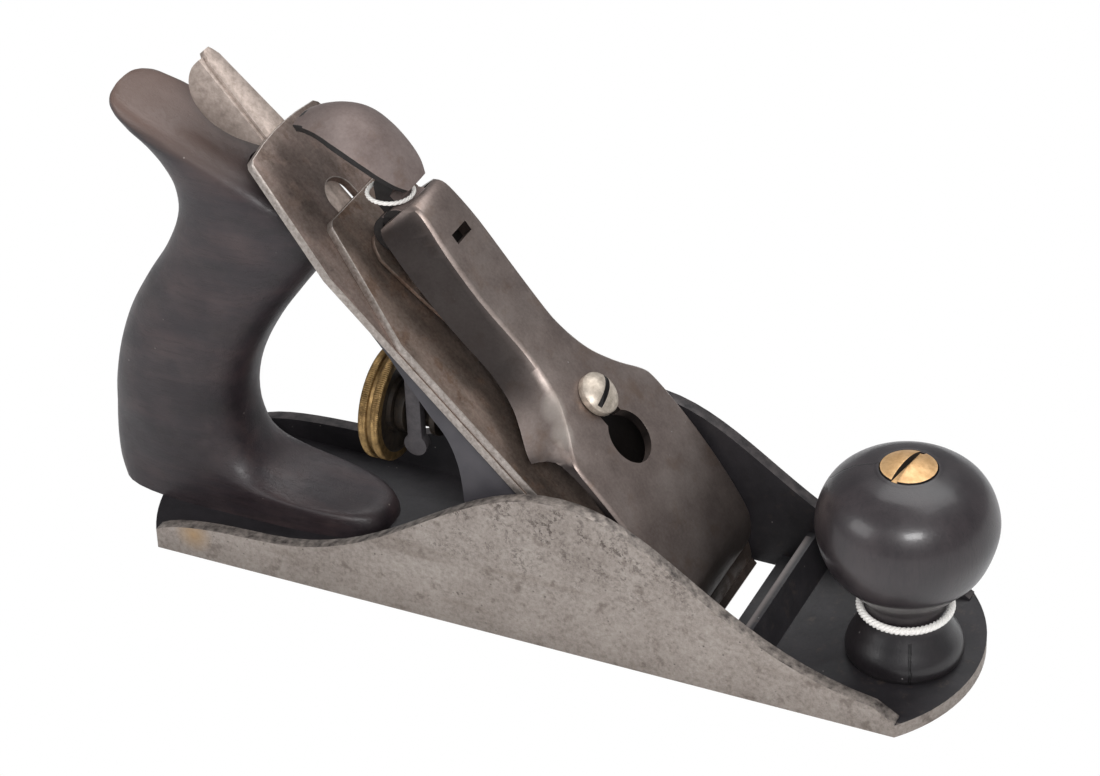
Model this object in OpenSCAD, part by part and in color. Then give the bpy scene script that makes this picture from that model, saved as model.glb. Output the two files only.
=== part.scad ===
// Small metal bench plane with an iron body, a separate frog bedded at 45 degrees,
// a two-piece cutter held by a lever cap, a wooden tote and a wooden knob.
// Frame: X runs forward to the toe, Y to the left, Z up. The origin is the centre of the sole.

/* [Body casting] */
// Length of the sole between the tips of the heel curve and the toe curve
sole_len = 194; // [186:0.5:204]
// Width of the sole
sole_w = 49.4; // [47:0.2:53]
// Thickness of the floor
floor_t = 3.2; // [2.6:0.1:4]
// Thickness of the side walls
wall_t = 3; // [2.4:0.1:3.4]
// Height of the side walls at their hump
wall_h = 38.6; // [34:0.2:42]
// Height of the side walls where they meet the heel
heel_h = 5; // [4:0.1:6]
// Height of the low side walls beside the tote
wing_h = 9.2; // [7:0.1:11]
// Radius of the toe's curve in plan
toe_r = 37; // [32:0.5:60]
// Radius of the heel's curve in plan
heel_r = 43; // [34:0.5:70]
// Distance from the tip of the toe to the middle of the wall hump
hump_from_toe = 86; // [80:0.5:92]
// Distance from the tip of the toe back to the line where the bed meets the sole
bed_from_toe = 61.3; // [58:0.1:66]
// Length of the mouth in the sole, along the plane
mouth_l = 8; // [7:0.1:10]
// Gap between the mouth and the cross rib in front of it
rib_gap = 6.3; // [5.4:0.1:11]
// Height of the cross rib above the floor
rib_h = 8.2; // [5:0.1:11]
// Thickness of the cross rib at its top
rib_t = 2; // [1.5:0.1:3.5]
// Height of the frog seat above the floor
seat_h = 4.8; // [3.5:0.1:5.5]

/* [Cutter] */
// Gap between each edge of the plane iron and the side wall beside it
iron_gap = 1.05; // [0.9:0.05:1.5]
// Thickness of the plane iron
iron_t = 2; // [1.7:0.1:2.3]
// Length of the plane iron along the bed above the sole line
iron_top = 142; // [136:0.5:148]
// Width of the plane iron across its top
iron_top_w = 28.6; // [24:0.2:34]
// Length of the tapered top of the plane iron
iron_taper = 30; // [24:0.5:36]
// Width of the slot in the plane iron
slot_w = 8.8; // [8.2:0.1:9.6]
// Distance from the top of the plane iron to the end of its slot
slot_from_top = 15.6; // [13:0.2:18]
// Diameter of the round hole at the lower end of the slot
slot_hole_d = 15; // [13:0.2:17]
// Angle at which the plane iron stands across the bed
iron_turn = 0.25; // [0:0.05:0.3]
// Angle of the ground bevel
bevel = 26; // [24:1:32]
// Height of the cutting edge above the sole at rest
edge_clear = 0.3; // [0.2:0.05:0.6]
// Thickness of the cap iron
cap_t = 2; // [1.7:0.1:2.3]
// Top end of the cap iron along the bed
cap_top = 120; // [116:0.5:124]
// Width of the cap iron across its top
cap_top_w = 23; // [20:0.2:28]
// Length of the tapered top of the cap iron
cap_taper = 30; // [24:0.5:36]
// Set-back of the cap iron's edge from the cutting edge
cap_back = 1.9; // [1:0.1:3]
// Height of the hump near the cap iron's edge
cap_hump = 1.7; // [1:0.1:2]
// Diameter of the head of the cap iron screw
cap_screw_head = 12.6; // [11.8:0.1:13]
// Diameter of the cap iron screw
cap_screw_d = 5.8; // [5:0.1:6.4]

/* [Lever cap] */
// Top end of the lever cap along the bed
lc_top = 112; // [110:0.2:113]
// How far the lever cap's lower plate keeps inside the edges of the plane iron
lc_inset = 0.45; // [0.3:0.05:1.2]
// Width of the lever cap's face at its narrow upper part
lc_face_w = 16; // [14:0.1:17]
// Width of the narrow upper part at the foot of its sides
lc_foot_w = 21; // [19.6:0.1:22]
// Thickness of the lever cap's face
lc_t = 3; // [2.6:0.1:3.4]
// Thickness of the lever cap's sides
lc_side = 2.6; // [2.2:0.1:3]
// Height of the feet of the lever cap's sides above the bed
lc_foot_h = 9; // [8.6:0.1:9.6]
// Diameter of the round part of the keyhole
key_d = 12.4; // [11.6:0.1:13.2]
// Width of the narrow part of the keyhole
key_slot = 6.6; // [6.2:0.1:7.2]
// Distance from the lever cap screw down to the middle of the round part
key_drop = 11.5; // [10.5:0.1:12]
// Diameter of the lever cap screw's head
lc_head_d = 9.8; // [9:0.1:10.8]
// Diameter of the lever cap screw
lc_screw_d = 5.2; // [4.6:0.1:5.6]
// Place of the lever cap screw along the bed
lc_screw_u = 54.5; // [53:0.1:56]
// Width of the cam lever's thumb piece
cam_w = 17; // [15:0.2:19]
// Thickness of the cam lever's thumb piece
cam_t = 1.6; // [1.3:0.1:1.8]
// Width of the cam lever's neck
neck_w = 5.2; // [4.6:0.1:5.6]
// Diameter of the cam's pin
cam_pin_d = 3; // [2.6:0.1:3.4]
// Radius of the round cam
cam_r = 4.3; // [4:0.05:4.4]
// Thickness of the lever cap's leaf spring
spring_t = 0.9; // [0.7:0.05:1.1]
// Width of the leaf spring at its free end
spring_w = 16; // [14:0.2:17]

/* [Frog and adjusters] */
// Gap between each flank of the frog and the side wall beside it
frog_gap = 2.7; // [2:0.1:3.6]
// Thickness of the frog's bed plate
plate_t = 4; // [3.4:0.1:4.4]
// Thickness of the frog's side flanges
flange_t = 3.6; // [3:0.1:4.4]
// Top end of the frog along the bed
frog_top = 111; // [110:0.2:113]
// Thickness of the frog's base
base_t = 5; // [4:0.1:5.4]
// Distance between the two frog screws
frog_pitch = 21; // [19:0.2:22]
// Diameter of the frog screws
frog_screw_d = 4.8; // [4.2:0.1:5.2]
// Diameter of the adjusting screw
stud_d = 4.8; // [4.4:0.1:5.2]
// Height of the adjusting screw above the sole
stud_z = 37; // [36:0.2:38]
// Diameter of the knurled wheel
wheel_d = 26.2; // [24.4:0.2:27]
// Thickness of the knurled wheel
wheel_t = 5; // [4.2:0.1:5.2]
// Width of the groove in the wheel's hub
groove_w = 6; // [5.6:0.1:6.4]
// Diameter of the round ends of the yoke
prong_d = 5.4; // [4.8:0.1:5.5]
// Width of the lateral lever
lateral_w = 8; // [7:0.1:9]
// Thickness of the lateral lever
lateral_t = 1.5; // [1.3:0.1:1.6]
// Top end of the lateral lever along the bed
lateral_top = 164.5; // [158:0.5:168]
// Angle at which the lateral lever stands
lateral_turn = 2; // [0:0.5:3]
// Diameter of the roller on the lateral lever
roller_d = 7.2; // [6.8:0.1:7.3]

/* [Handles] */
// Length of the tote's foot
tote_l = 68.5; // [66:0.5:72]
// Thickness of the tote
tote_t = 22; // [20:0.2:24]
// Height of the tote's horn above the sole
tote_h = 107; // [102:0.5:112]
// Diameter of the tote's rod
rod_d = 5.2; // [4.6:0.1:5.6]
// Height of the knob above the floor
knob_h = 48.2; // [42:0.2:52]
// Diameter of the knob's ball
knob_d = 38.8; // [34:0.2:40]
// Diameter of the knob's foot
knob_foot = 25.6; // [24:0.2:30]
// Diameter of the knob's neck
knob_neck = 17.4; // [16.4:0.2:21]
// Distance from the tip of the toe to the knob's axis
knob_from_toe = 16.4; // [14.8:0.1:20]
// Diameter of the slotted brass nuts
nut_d = 12; // [11:0.1:13]
// Thickness of the string on the knob
knob_cord = 1.8; // [1.2:0.1:2.2]
// Thickness of the string on the cam lever
lever_cord = 1; // [0.8:0.1:1.2]

/* [Hidden] */
$fn = 64;

// Clearances
fit = 0.05;      // running fit on pins and threads, on the radius
slide = 0.1;     // gap between flat faces that slide
gap = 0.3;       // gap between pieces that move past each other
eps = 0.01;      // overlap of solids that are one casting

// Main places
toe_x = sole_len / 2;
heel_x = -sole_len / 2;
toe_corner = toe_x - toe_r + sqrt(pow(toe_r, 2) - pow(sole_w / 2, 2));
heel_corner = heel_x + heel_r - sqrt(pow(heel_r, 2) - pow(sole_w / 2, 2));
inner_w = sole_w - 2 * wall_t;
iron_w = inner_w - 2 * iron_gap;
frog_w = inner_w - 2 * frog_gap;
lc_w = iron_w - 2 * lc_inset;
bed_x = toe_x - bed_from_toe;
hump_x = toe_x - hump_from_toe;
mouth_front = bed_x + mouth_l;
rib_x = mouth_front + rib_gap;
seat_z = floor_t + seat_h;
knob_x = toe_x - knob_from_toe;

// Shapes along curves
function bezier(p, t) = pow(1 - t, 3) * p[0] + 3 * pow(1 - t, 2) * t * p[1]
    + 3 * (1 - t) * pow(t, 2) * p[2] + pow(t, 3) * p[3];
function curve(p, n) = [for (i = [0:n]) bezier(p, i / n)];
function spline_point(p, i, t) = let (a = p[max(i - 1, 0)], b = p[i], c = p[i + 1],
    d = p[min(i + 2, len(p) - 1)])
    b + t * ((c - a) / 2 + t * (a - 2.5 * b + 2 * c - d / 2
    + t * (1.5 * (b - c) + (d - a) / 2)));
function spline(p, n) = [for (i = [0:len(p) - 2], k = [0:n - 1]) spline_point(p, i, k / n),
    p[len(p) - 1]];

// The bed's frame: X up the slope, Z out of the bed, from the line where it meets the sole
module on_bed() translate([bed_x, 0, 0]) rotate([0, 45, 0]) rotate([0, 0, 180]) children();

// A side profile, drawn in X and Z, given a width across the plane
module across(w) rotate([90, 0, 0]) linear_extrude(height = w, center = true) children();

// A pin through both sides of the plane
module cross_pin(d, w) rotate([90, 0, 0]) cylinder(d = d, h = w, center = true);

// A plan outline whose two sides follow the same list of [place, half width]
module both_sides(p) polygon(concat(p, [for (i = [len(p) - 1:-1:0]) [p[i][0], -p[i][1]]]));

// ---- Body casting ----

module sole_outline() {
    translate([heel_corner, -sole_w / 2]) square([toe_corner - heel_corner, sole_w]);
    intersection() {
        translate([toe_x - toe_r, 0]) circle(toe_r, $fn = 160);
        translate([toe_corner - eps, -sole_w / 2]) square([toe_r, sole_w]);
    }
    intersection() {
        translate([heel_x + heel_r, 0]) circle(heel_r, $fn = 160);
        translate([heel_corner + eps - heel_r, -sole_w / 2]) square([heel_r, sole_w]);
    }
}

wing_l = 28;      // low part of the wall behind the hump's slope
toe_drop = 5;     // last stretch of the wall, where it falls to the floor at the toe
toe_h = 6.6;      // height of the wall before that stretch

function wall_top() = concat(
    curve([[heel_corner, heel_h], [heel_corner + wing_l * 0.2, wing_h - 0.9],
        [heel_corner + wing_l * 0.6, wing_h - 0.4], [heel_corner + wing_l, wing_h]], 8),
    curve([[heel_corner + wing_l, wing_h], [hump_x - 40, wing_h + 1.6],
        [hump_x - 26, wall_h], [hump_x, wall_h]], 18),
    curve([[hump_x, wall_h], [hump_x + 23.5, wall_h], [hump_x + 35.5, toe_h + 4.9],
        [toe_corner - toe_drop, toe_h]], 18),
    [[toe_corner, floor_t + 0.4]]);

module side_wall(side)
    translate([0, side * (sole_w - wall_t) / 2, 0])
        across(wall_t) polygon(concat([[heel_corner, 0]], wall_top(), [[toe_corner, 0]]));

boss_d = 10;      // bosses that take the rods of the knob and the tote
boss_h = 3.4;
seat_back = 50;   // frog seat, measured back from the bed line
seat_front = 15.5;
seat_w = frog_w - 4;
frog_screw_x = bed_x - 30;
thread_depth = 4.6;

module tote_axis() translate([tote_rod_x, 0, floor_t]) rotate([0, rod_lean, 0]) children();

module body_casting() color("#6f6a64") difference() {
    union() {
        linear_extrude(floor_t) sole_outline();
        side_wall(1);
        side_wall(-1);
        translate([bed_x - seat_back, -seat_w / 2, floor_t - eps])
            cube([seat_back - seat_front, seat_w, seat_h + eps]);
        across(inner_w + 2 * eps) polygon([[rib_x - 0.6, floor_t - eps], [rib_x, floor_t + rib_h],
            [rib_x + rib_t, floor_t + rib_h], [rib_x + rib_t + 2.8, floor_t - eps]]);
        translate([knob_x, 0, floor_t - eps]) cylinder(d = boss_d, h = boss_h);
        translate([tote_rod_x, 0, floor_t - eps]) cylinder(d = boss_d, h = boss_h);
    }
    across(inner_w) polygon([[bed_x - gap * sqrt(2) + 1, -1], [mouth_front, -1],
        [mouth_front, floor_t + 1], [bed_x - gap * sqrt(2) - floor_t - 1, floor_t + 1]]);
    translate([knob_x, 0, floor_t + boss_h - thread_depth])
        cylinder(d = rod_d + 2 * fit, h = thread_depth + 1);
    tote_axis() translate([0, 0, boss_h - thread_depth])
        cylinder(d = rod_d + 2 * fit, h = thread_depth + 3);
    for (side = [-1, 1]) translate([frog_screw_x, side * frog_pitch / 2, seat_z - screw_bite])
        cylinder(d = frog_screw_d + 2 * fit, h = screw_bite + 1);
}

// ---- Frog ----

yoke_u = 75.5;      // yoke pin, along the bed
yoke_drop = 7;      // yoke pin, below the bed
pin_x = bed_x - (yoke_drop + yoke_u) / sqrt(2);
pin_z = (yoke_u - yoke_drop) / sqrt(2);
cap_screw_u = 86;   // cap iron screw, along the bed
pivot_u = 107;      // lateral lever's pivot, along the bed
roller_arm = 8.5;   // from that pivot down to the roller
pivot_d = 4;
yoke_pin_d = 3;
screw_bite = 6.6;   // how far the frog screws reach into the seat
washer_t = 1.1;
frog_travel = 1.2;
nose_w = 4.2;
lug_t = 3;
lug_in = 3.2;       // inner faces of the lugs that hold the yoke pin
frog_head_h = 3;
frog_head_d = 9;
adjust = 0.85;      // travel of the cutter each way
swing_room = 3.4;   // room beside the lateral lever's foot

frog_back = bed_x - seat_back + 0.8;
base_l = seat_back - seat_front - 3.2;

module flange_profile() polygon(concat(
    [[frog_back, seat_z + slide], [bed_x - seat_front + gap, seat_z + slide],
        [bed_x - floor_t - 0.4 - 1, floor_t + 0.4 + 1 - slide * 1.5]],
    [[bed_x - frog_top / sqrt(2) - slide, frog_top / sqrt(2) - slide]],
    spline([[bed_x - frog_top / sqrt(2) - 1.6, frog_top / sqrt(2) - 2.6],
        [bed_x - 65.4, 58.5], [bed_x - 58.4, 51], [bed_x - 53, 45],
        [bed_x - 50.2, 38], [frog_back, 28]], 5)));

module bed_plate() on_bed() translate([4.4, -frog_w / 2, -plate_t - slide])
    cube([frog_top - 4.4, frog_w, plate_t]);

// Plan of the frog on the bed: it narrows towards its top
module frog_plan() on_bed() translate([0, 0, -90]) linear_extrude(100) both_sides([
    [-60, frog_w / 2], [64, frog_w / 2], [74, frog_w / 2 - 0.6], [82, frog_w / 2 - 1.9],
    [90, frog_w / 2 - 3], [frog_top - 4, frog_w / 2 - 3.6], [frog_top - 1, frog_w / 2 - 4.6],
    [frog_top, frog_w / 2 - 6.6]]);

module frog() color("#7a7671") difference() {
    union() {
        intersection() {
            union() {
                bed_plate();
                for (side = [-1, 1]) translate([0, side * (frog_w / 2 - flange_t), 0])
                    across(2 * flange_t) flange_profile();
            }
            translate([bed_x - 100, -frog_w, floor_t + 0.4]) cube([110, 2 * frog_w, 100]);
            frog_plan();
        }
        translate([frog_back, -frog_w / 2 + eps, seat_z + slide])
            cube([base_l, frog_w - 2 * eps, base_t]);
        translate([frog_back + base_l - 5.7, -frog_w / 2 + eps, seat_z + slide])
            cube([7, frog_w - 2 * eps, 8]);
        on_bed() translate([lc_screw_u, 0, -13]) cylinder(d = 11, h = 10);
        translate([bed_x - stud_z - 15, 0, stud_z]) rotate([0, 90, 0]) cylinder(d = 11, h = 11);
        for (side = [-1, 1]) on_bed() intersection() {
            translate([yoke_u - 6, side > 0 ? lug_in : -lug_in - lug_t, -yoke_drop - 4])
                cube([12, lug_t, 8]);
            union() {
                translate([yoke_u, 0, -yoke_drop]) cross_pin(8, 20);
                translate([yoke_u - 4, -10, -yoke_drop]) cube([8, 20, 4]);
            }
        }
    }
    on_bed() translate([lc_screw_u, 0, -12]) cylinder(d = lc_screw_d + 2 * fit, h = 20);
    translate([bed_x - stud_z - 16, 0, stud_z]) rotate([0, 90, 0])
        cylinder(d = stud_d + 2 * fit, h = 5.6);
    on_bed() translate([yoke_u, 0, -yoke_drop]) cross_pin(yoke_pin_d + 2 * fit, 20);
    on_bed() translate([yoke_u - 5.5, -nose_w / 2 - 0.8, -yoke_drop]) cube([11, nose_w + 1.6, 10]);
    on_bed() for (end = [-1, 1]) translate([cap_screw_u + end * (adjust + 0.4), 0, -8])
        cylinder(d = cap_screw_head + 1, h = 10);
    on_bed() translate([pivot_u - roller_arm - lateral_w / 2 - 1.2, -lateral_w / 2 - swing_room,
        -lateral_t - 2 * slide - 0.2]) cube([40, lateral_w + 2 * swing_room, 4]);
    on_bed() translate([pivot_u, 0, -8]) cylinder(d = pivot_d + 2 * fit, h = 10);
    for (side = [-1, 1]) translate([frog_screw_x, side * frog_pitch / 2, 0]) {
        for (end = [0, 1]) translate([-end * frog_travel - 0.3, 0, seat_z - 1])
            cylinder(d = frog_screw_d + 1, h = base_t + 2);
        for (end = [0, 1]) translate([-end * frog_travel - 0.3, 0, seat_z + slide + base_t])
            cylinder(d = frog_head_d + 2.2, h = 40);
    }
}

module frog_screws() color("#8c8780") for (side = [-1, 1])
    translate([frog_screw_x, side * frog_pitch / 2, 0]) difference() {
        union() {
            translate([0, 0, seat_z - screw_bite + 0.4])
                cylinder(d = frog_screw_d, h = screw_bite + base_t + 2 * slide + washer_t);
            translate([0, 0, seat_z + base_t + 2 * slide + washer_t])
                cylinder(d = frog_head_d, h = frog_head_h);
        }
        translate([-0.6, -frog_head_d, seat_z + base_t + washer_t + frog_head_h - 1.2])
            cube([1.2, 2 * frog_head_d, 3]);
    }

module frog_washers() color("#9a958c") for (side = [-1, 1])
    translate([frog_screw_x, side * frog_pitch / 2, seat_z + base_t + 2 * slide])
        difference() {
            cylinder(d = frog_head_d + 0.8, h = washer_t);
            translate([0, 0, -1]) cylinder(d = frog_screw_d + 2 * fit, h = washer_t + 2);
        }

// ---- Depth adjustment ----

wheel_x = bed_x - 77.9;                 // rear face of the wheel
hub_x = wheel_x + wheel_t + 0.4;        // rear face of the hub's first flange
flange_w = 2.2;
groove_x = hub_x + flange_w + groove_w / 2;
hub_end = groove_x + groove_w / 2 + 1.4;
hub_flange_d = 12;
groove_d = 7.6;
sleeve_d = 9.2;
stud_start = wheel_x - 3.4;
stud_end = bed_x - stud_z - 10.8;

module along_x(x) translate([x, 0, stud_z]) rotate([0, 90, 0]) children();

module depth_screw() color("#8a857d") along_x(stud_start) {
    cylinder(d = stud_d, h = stud_end - stud_start);
}

module depth_hub() color("#b98f4a") difference() {
    union() {
        along_x(wheel_x - 0.4) cylinder(d = sleeve_d, h = hub_x - wheel_x + 0.8);
        along_x(hub_x) cylinder(d = hub_flange_d, h = flange_w);
        along_x(hub_x) cylinder(d = groove_d, h = hub_end - hub_x);
        along_x(groove_x + groove_w / 2) cylinder(d = hub_flange_d - 1.4, h = 1.4);
    }
    along_x(wheel_x - 2) cylinder(d = stud_d + 2 * fit, h = 30);
}

rim_groove = 1.3;

module depth_wheel() color("#c39a52") difference() {
    along_x(wheel_x) cylinder(d = wheel_d, h = wheel_t, $fn = 96);
    along_x(wheel_x - 1) cylinder(d = sleeve_d + 2 * fit, h = wheel_t + 2);
    along_x(wheel_x + wheel_t / 2 - rim_groove / 2) difference() {
        cylinder(d = wheel_d + 2, h = rim_groove);
        translate([0, 0, -1]) cylinder(d = wheel_d - 1.4, h = rim_groove + 2);
    }
    along_x(wheel_x + wheel_t - 1) difference() {
        cylinder(d = wheel_d - 4.4, h = 2);
        translate([0, 0, -1]) cylinder(d = hub_flange_d + 1.4, h = 4);
    }
}

// ---- Yoke ----

prong_z = stud_z - 5.6;
prong_t = 2.3;
fork_in = groove_d / 2 + 0.3;
stem_w = 3.4;
yoke_nose_h = iron_t + cap_t - 0.4;     // the nose ends inside the cap iron

module yoke_lever() color("#7f7a73") difference() {
    union() {
        for (side = [-1, 1]) translate([0, side * (fork_in + prong_t / 2), 0]) {
            translate([groove_x, 0, prong_z]) cross_pin(prong_d, prong_t);
            across(prong_t) polygon([[groove_x - stem_w / 2, prong_z],
                [groove_x + stem_w / 2, prong_z], [groove_x + stem_w / 2, pin_z + 1.5],
                [groove_x - stem_w / 2, pin_z + 1.5]]);
        }
        translate([groove_x - stem_w / 2, -fork_in - prong_t + eps, pin_z - 3.6])
            cube([stem_w, 2 * (fork_in + prong_t - eps), 6]);
        across(2 * lug_in - 2 * gap) polygon([[groove_x, pin_z - 3], [pin_x, pin_z - 3],
            [pin_x, pin_z + 3], [groove_x, pin_z + 2]]);
        translate([pin_x, 0, pin_z]) cross_pin(7, 2 * lug_in - 2 * gap);
        on_bed() across(nose_w) polygon([[yoke_u - 2.6, -yoke_drop], [yoke_u + 2.6, -yoke_drop],
            [yoke_u + 2, 0], [yoke_u + 1.9, yoke_nose_h], [yoke_u - 1.9, yoke_nose_h],
            [yoke_u - 2, 0]]);
    }
    translate([pin_x, 0, pin_z]) cross_pin(yoke_pin_d + 2 * fit, 20);
}

module yoke_pin() color("#8d8880") translate([pin_x, 0, pin_z])
    cross_pin(yoke_pin_d, 2 * (lug_in + lug_t));

// ---- Lateral adjustment ----

// The lever's own frame: at its pivot, X along the lever, turned in the plane of the bed
module on_lever() on_bed() translate([pivot_u, 0, 0]) rotate([0, 0, -lateral_turn]) children();

tab_l = 23.5;      // folded thumb piece at the lever's end
tab_h = 8.6;
tab_turn = 3.6;
tab_form = [[0, 0], [0.01, 0.34], [0.07, 0.66], [0.17, 0.89], [0.3, 1], [0.49, 0.97],
    [0.71, 0.7], [0.89, 0.31], [1, 0]];     // shares of its length, from its tip, and depth
tip_w = 3.8;       // width of the lever at its very end

module lateral_lever() color("#8b857c") difference() {
    on_lever() {
        reach = lateral_top - pivot_u;
        translate([0, 0, -slide - lateral_t]) linear_extrude(lateral_t) {
            translate([-roller_arm, 0]) circle(d = lateral_w + 0.4);
            both_sides([[-roller_arm, lateral_w / 2], [reach - 22, lateral_w / 2],
                [reach - 2.6, tip_w / 2 + 0.4], [reach - 0.8, tip_w / 2 - 0.4],
                [reach, tip_w / 4]]);
        }
        translate([reach - 1, lateral_w / 2 - 0.6 - tab_l * sin(tab_turn), -slide - lateral_t / 2])
            rotate([0, 0, -tab_turn]) rotate([-90, 0, 0]) linear_extrude(lateral_t)
                polygon(spline([for (p = tab_form) [-p[0] * tab_l, p[1] * tab_h]], 4));
    }
    on_bed() translate([pivot_u, 0, -8]) cylinder(d = pivot_d + 2 * fit, h = 10);
    on_lever() translate([-roller_arm, 0, -8]) cylinder(d = rivet_d + 2 * fit, h = 10);
}

rivet_d = 2.6;
rivet_head = 4.8;
head_t = 0.6;
roller_top = iron_t - 0.25;
rivet_foot = slide + lateral_t;

module lateral_pivot() color("#8d8880") on_bed() translate([pivot_u, 0, -plate_t])
    cylinder(d = pivot_d, h = plate_t - slide - 0.1);

module lateral_roller() color("#99938a") on_lever() translate([-roller_arm, 0, 0]) difference() {
    translate([0, 0, -slide + 0.05]) cylinder(d = roller_d, h = roller_top + slide - 0.05);
    translate([0, 0, -2]) cylinder(d = rivet_d + 4 * fit, h = 8);
    translate([0, 0, roller_top - head_t - 0.1]) cylinder(d = rivet_head + 4 * fit, h = 2);
}

module roller_rivet() color("#8d8880") on_lever() translate([-roller_arm, 0, 0]) {
    translate([0, 0, -rivet_foot]) cylinder(d = rivet_d, h = rivet_foot + roller_top);
    translate([0, 0, roller_top - head_t]) cylinder(d = rivet_head, h = head_t);
}

// ---- Cutter ----

edge_u = edge_clear * sqrt(2) - iron_t;             // the cutting edge, along the bed
slot_top = iron_top - slot_from_top - slot_w / 2;
slot_low = lc_screw_u - 9;

skew_u = 30;        // place along the bed about which the cutter is skewed

module on_cutter() on_bed() translate([skew_u, 0, 0]) rotate([0, 0, -iron_turn])
    translate([-skew_u, 0, 0]) children();

module plane_iron() color("#8f8171") on_cutter() difference() {
    intersection() {
        across(iron_w + 2) polygon([[edge_u, iron_t], [iron_top + 4, iron_t], [iron_top + 4, 0],
            [edge_u + iron_t / tan(bevel), 0]]);
        translate([0, 0, -1]) linear_extrude(iron_t + 2) both_sides([[-6, iron_w / 2],
            [iron_top - iron_taper, iron_w / 2], [iron_top - 2.2, iron_top_w / 2 + 0.4],
            [iron_top - 1.2, iron_top_w / 2 - 0.6], [iron_top - 0.3, iron_top_w / 4],
            [iron_top, iron_top_w / 12]]);
    }
    translate([slot_low, -slot_w / 2, -1]) cube([slot_top - slot_low, slot_w, iron_t + 2]);
    translate([slot_top, 0, -1]) cylinder(d = slot_w, h = iron_t + 2);
    translate([slot_low, 0, -1]) cylinder(d = slot_hole_d, h = iron_t + 2);
}

cap_edge = edge_u + cap_back;
hump_l = 24;
cap_z = iron_t + cap_t;

module cap_side() polygon(concat(
    curve([[cap_edge, iron_t], [cap_edge + 1.5, iron_t + 1.9], [cap_edge + 5, cap_z + cap_hump],
        [cap_edge + 9, cap_z + cap_hump]], 8),
    curve([[cap_edge + 9, cap_z + cap_hump], [cap_edge + 15, cap_z + cap_hump],
        [cap_edge + 17, cap_z], [cap_edge + hump_l, cap_z]], 8),
    [[cap_top, cap_z], [cap_top, iron_t]],
    curve([[cap_edge + hump_l, iron_t], [cap_edge + 17, iron_t], [cap_edge + 15, iron_t + cap_hump],
        [cap_edge + 9, iron_t + cap_hump]], 6),
    curve([[cap_edge + 9, iron_t + cap_hump], [cap_edge + 6, iron_t + cap_hump],
        [cap_edge + 4, iron_t + 0.6], [cap_edge + 2, iron_t]], 6)));

cap_slot_w = 9;
yoke_slot_l = 4.8;

module cap_iron() color("#85715d") on_cutter() difference() {
    intersection() {
        across(iron_w - 0.6) cap_side();
        linear_extrude(cap_z + 4) both_sides([[-6, iron_w / 2], [cap_top - cap_taper, iron_w / 2],
            [cap_top - 1, cap_top_w / 2], [cap_top, cap_top_w / 2 - 1.4]]);
    }
    for (end = [-8, 10]) translate([lc_screw_u + end, 0, 0]) cylinder(d = cap_slot_w, h = 10);
    translate([lc_screw_u - 8, -cap_slot_w / 2, 0]) cube([18, cap_slot_w, 10]);
    translate([yoke_u - yoke_slot_l / 2, -nose_w / 2 - 1.6, 0])
        cube([yoke_slot_l, nose_w + 3.2, 10]);
    translate([cap_screw_u, 0, 0]) cylinder(d = cap_screw_d + 2 * fit, h = 10);
}

module cap_iron_screw() color("#8d8880") on_cutter() translate([cap_screw_u, 0, 0]) difference() {
    union() {
        translate([0, 0, -3.1]) cylinder(d = cap_screw_head, h = 3.1);
        translate([0, 0, -eps]) cylinder(d = cap_screw_d, h = cap_z);
    }
    translate([-0.6, -cap_screw_head, -4.2]) cube([1.2, 2 * cap_screw_head, 2.2]);
}

// ---- Lever cap ----

cam_u = 109.4;      // cam's pin, along the bed
cam_h = 13;         // cam's pin, above the bed
cam_in = 11;        // room between the lever cap's sides at the cam
slot_u = 100;       // small slot across the face
rivet_u = 66;
pin_end = 1.6;      // how far the cam's pin goes into the lever cap's sides

// Half widths at the shoulders, as shares of the step from the narrow part to the wide plate
function face_at(share) = lc_face_w / 2 + share * (lc_w - lc_face_w) / 2;
function foot_at(share) = lc_foot_w / 2 + share * (lc_w - lc_foot_w) / 2;

// Place along the bed, height of the face, half widths of the face and of the foot, foot's height
cap_form = [
    [4.4, 6.4, lc_w / 2 - 3, lc_w / 2 - 2.9, 4], [5.4, 8, lc_w / 2 - 1.3, lc_w / 2 - 1.1, 4],
    [9, 10.8, lc_w / 2 - 0.3, lc_w / 2 - 0.1, 4], [14, 12.6, lc_w / 2 - 0.2, lc_w / 2, 5],
    [23, 14.7, lc_w / 2 - 0.2, lc_w / 2, 6], [32, 16.1, lc_w / 2 - 0.2, lc_w / 2, 7],
    [40, 16.8, lc_w / 2 - 0.2, lc_w / 2, 8], [47, 17.1, lc_w / 2 - 0.4, lc_w / 2, 8.4],
    [50, 17.2, lc_w / 2 - 1.6, lc_w / 2, 8.5], [54, 17.3, lc_w / 2 - 5.2, lc_w / 2 - 0.3, 8.5],
    [57, 17.4, face_at(0.377), foot_at(0.825), 8.6], [61, 17.4, face_at(0.172), foot_at(0.515), 8.8],
    [65, 17.4, face_at(0.049), foot_at(0.258), lc_foot_h],
    [70, 17.5, face_at(-0.033), foot_at(0.082), lc_foot_h],
    [75, 17.7, face_at(-0.049), foot_at(0.01), lc_foot_h],
    [87, 18.6, lc_face_w / 2, lc_foot_w / 2, lc_foot_h],
    [99, 20.2, lc_face_w / 2 - 0.1, lc_foot_w / 2, lc_foot_h + 1],
    [107, 21.2, lc_face_w / 2 - 1, lc_foot_w / 2 - 0.2, lc_foot_h + 2],
    [lc_top - 1.6, 21, lc_face_w / 2 - 1.4, lc_foot_w / 2 - 0.6, lc_foot_h + 2.4],
    [lc_top, 19.7, lc_face_w / 2 - 1.8, lc_foot_w / 2 - 1.3, lc_foot_h + 3]];

// Share of the flank's spread and of its height, from the foot to the middle of the face
flank = [[1, 0], [0.66, 0.38], [0.22, 0.76], [0, 0.93]];

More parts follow.
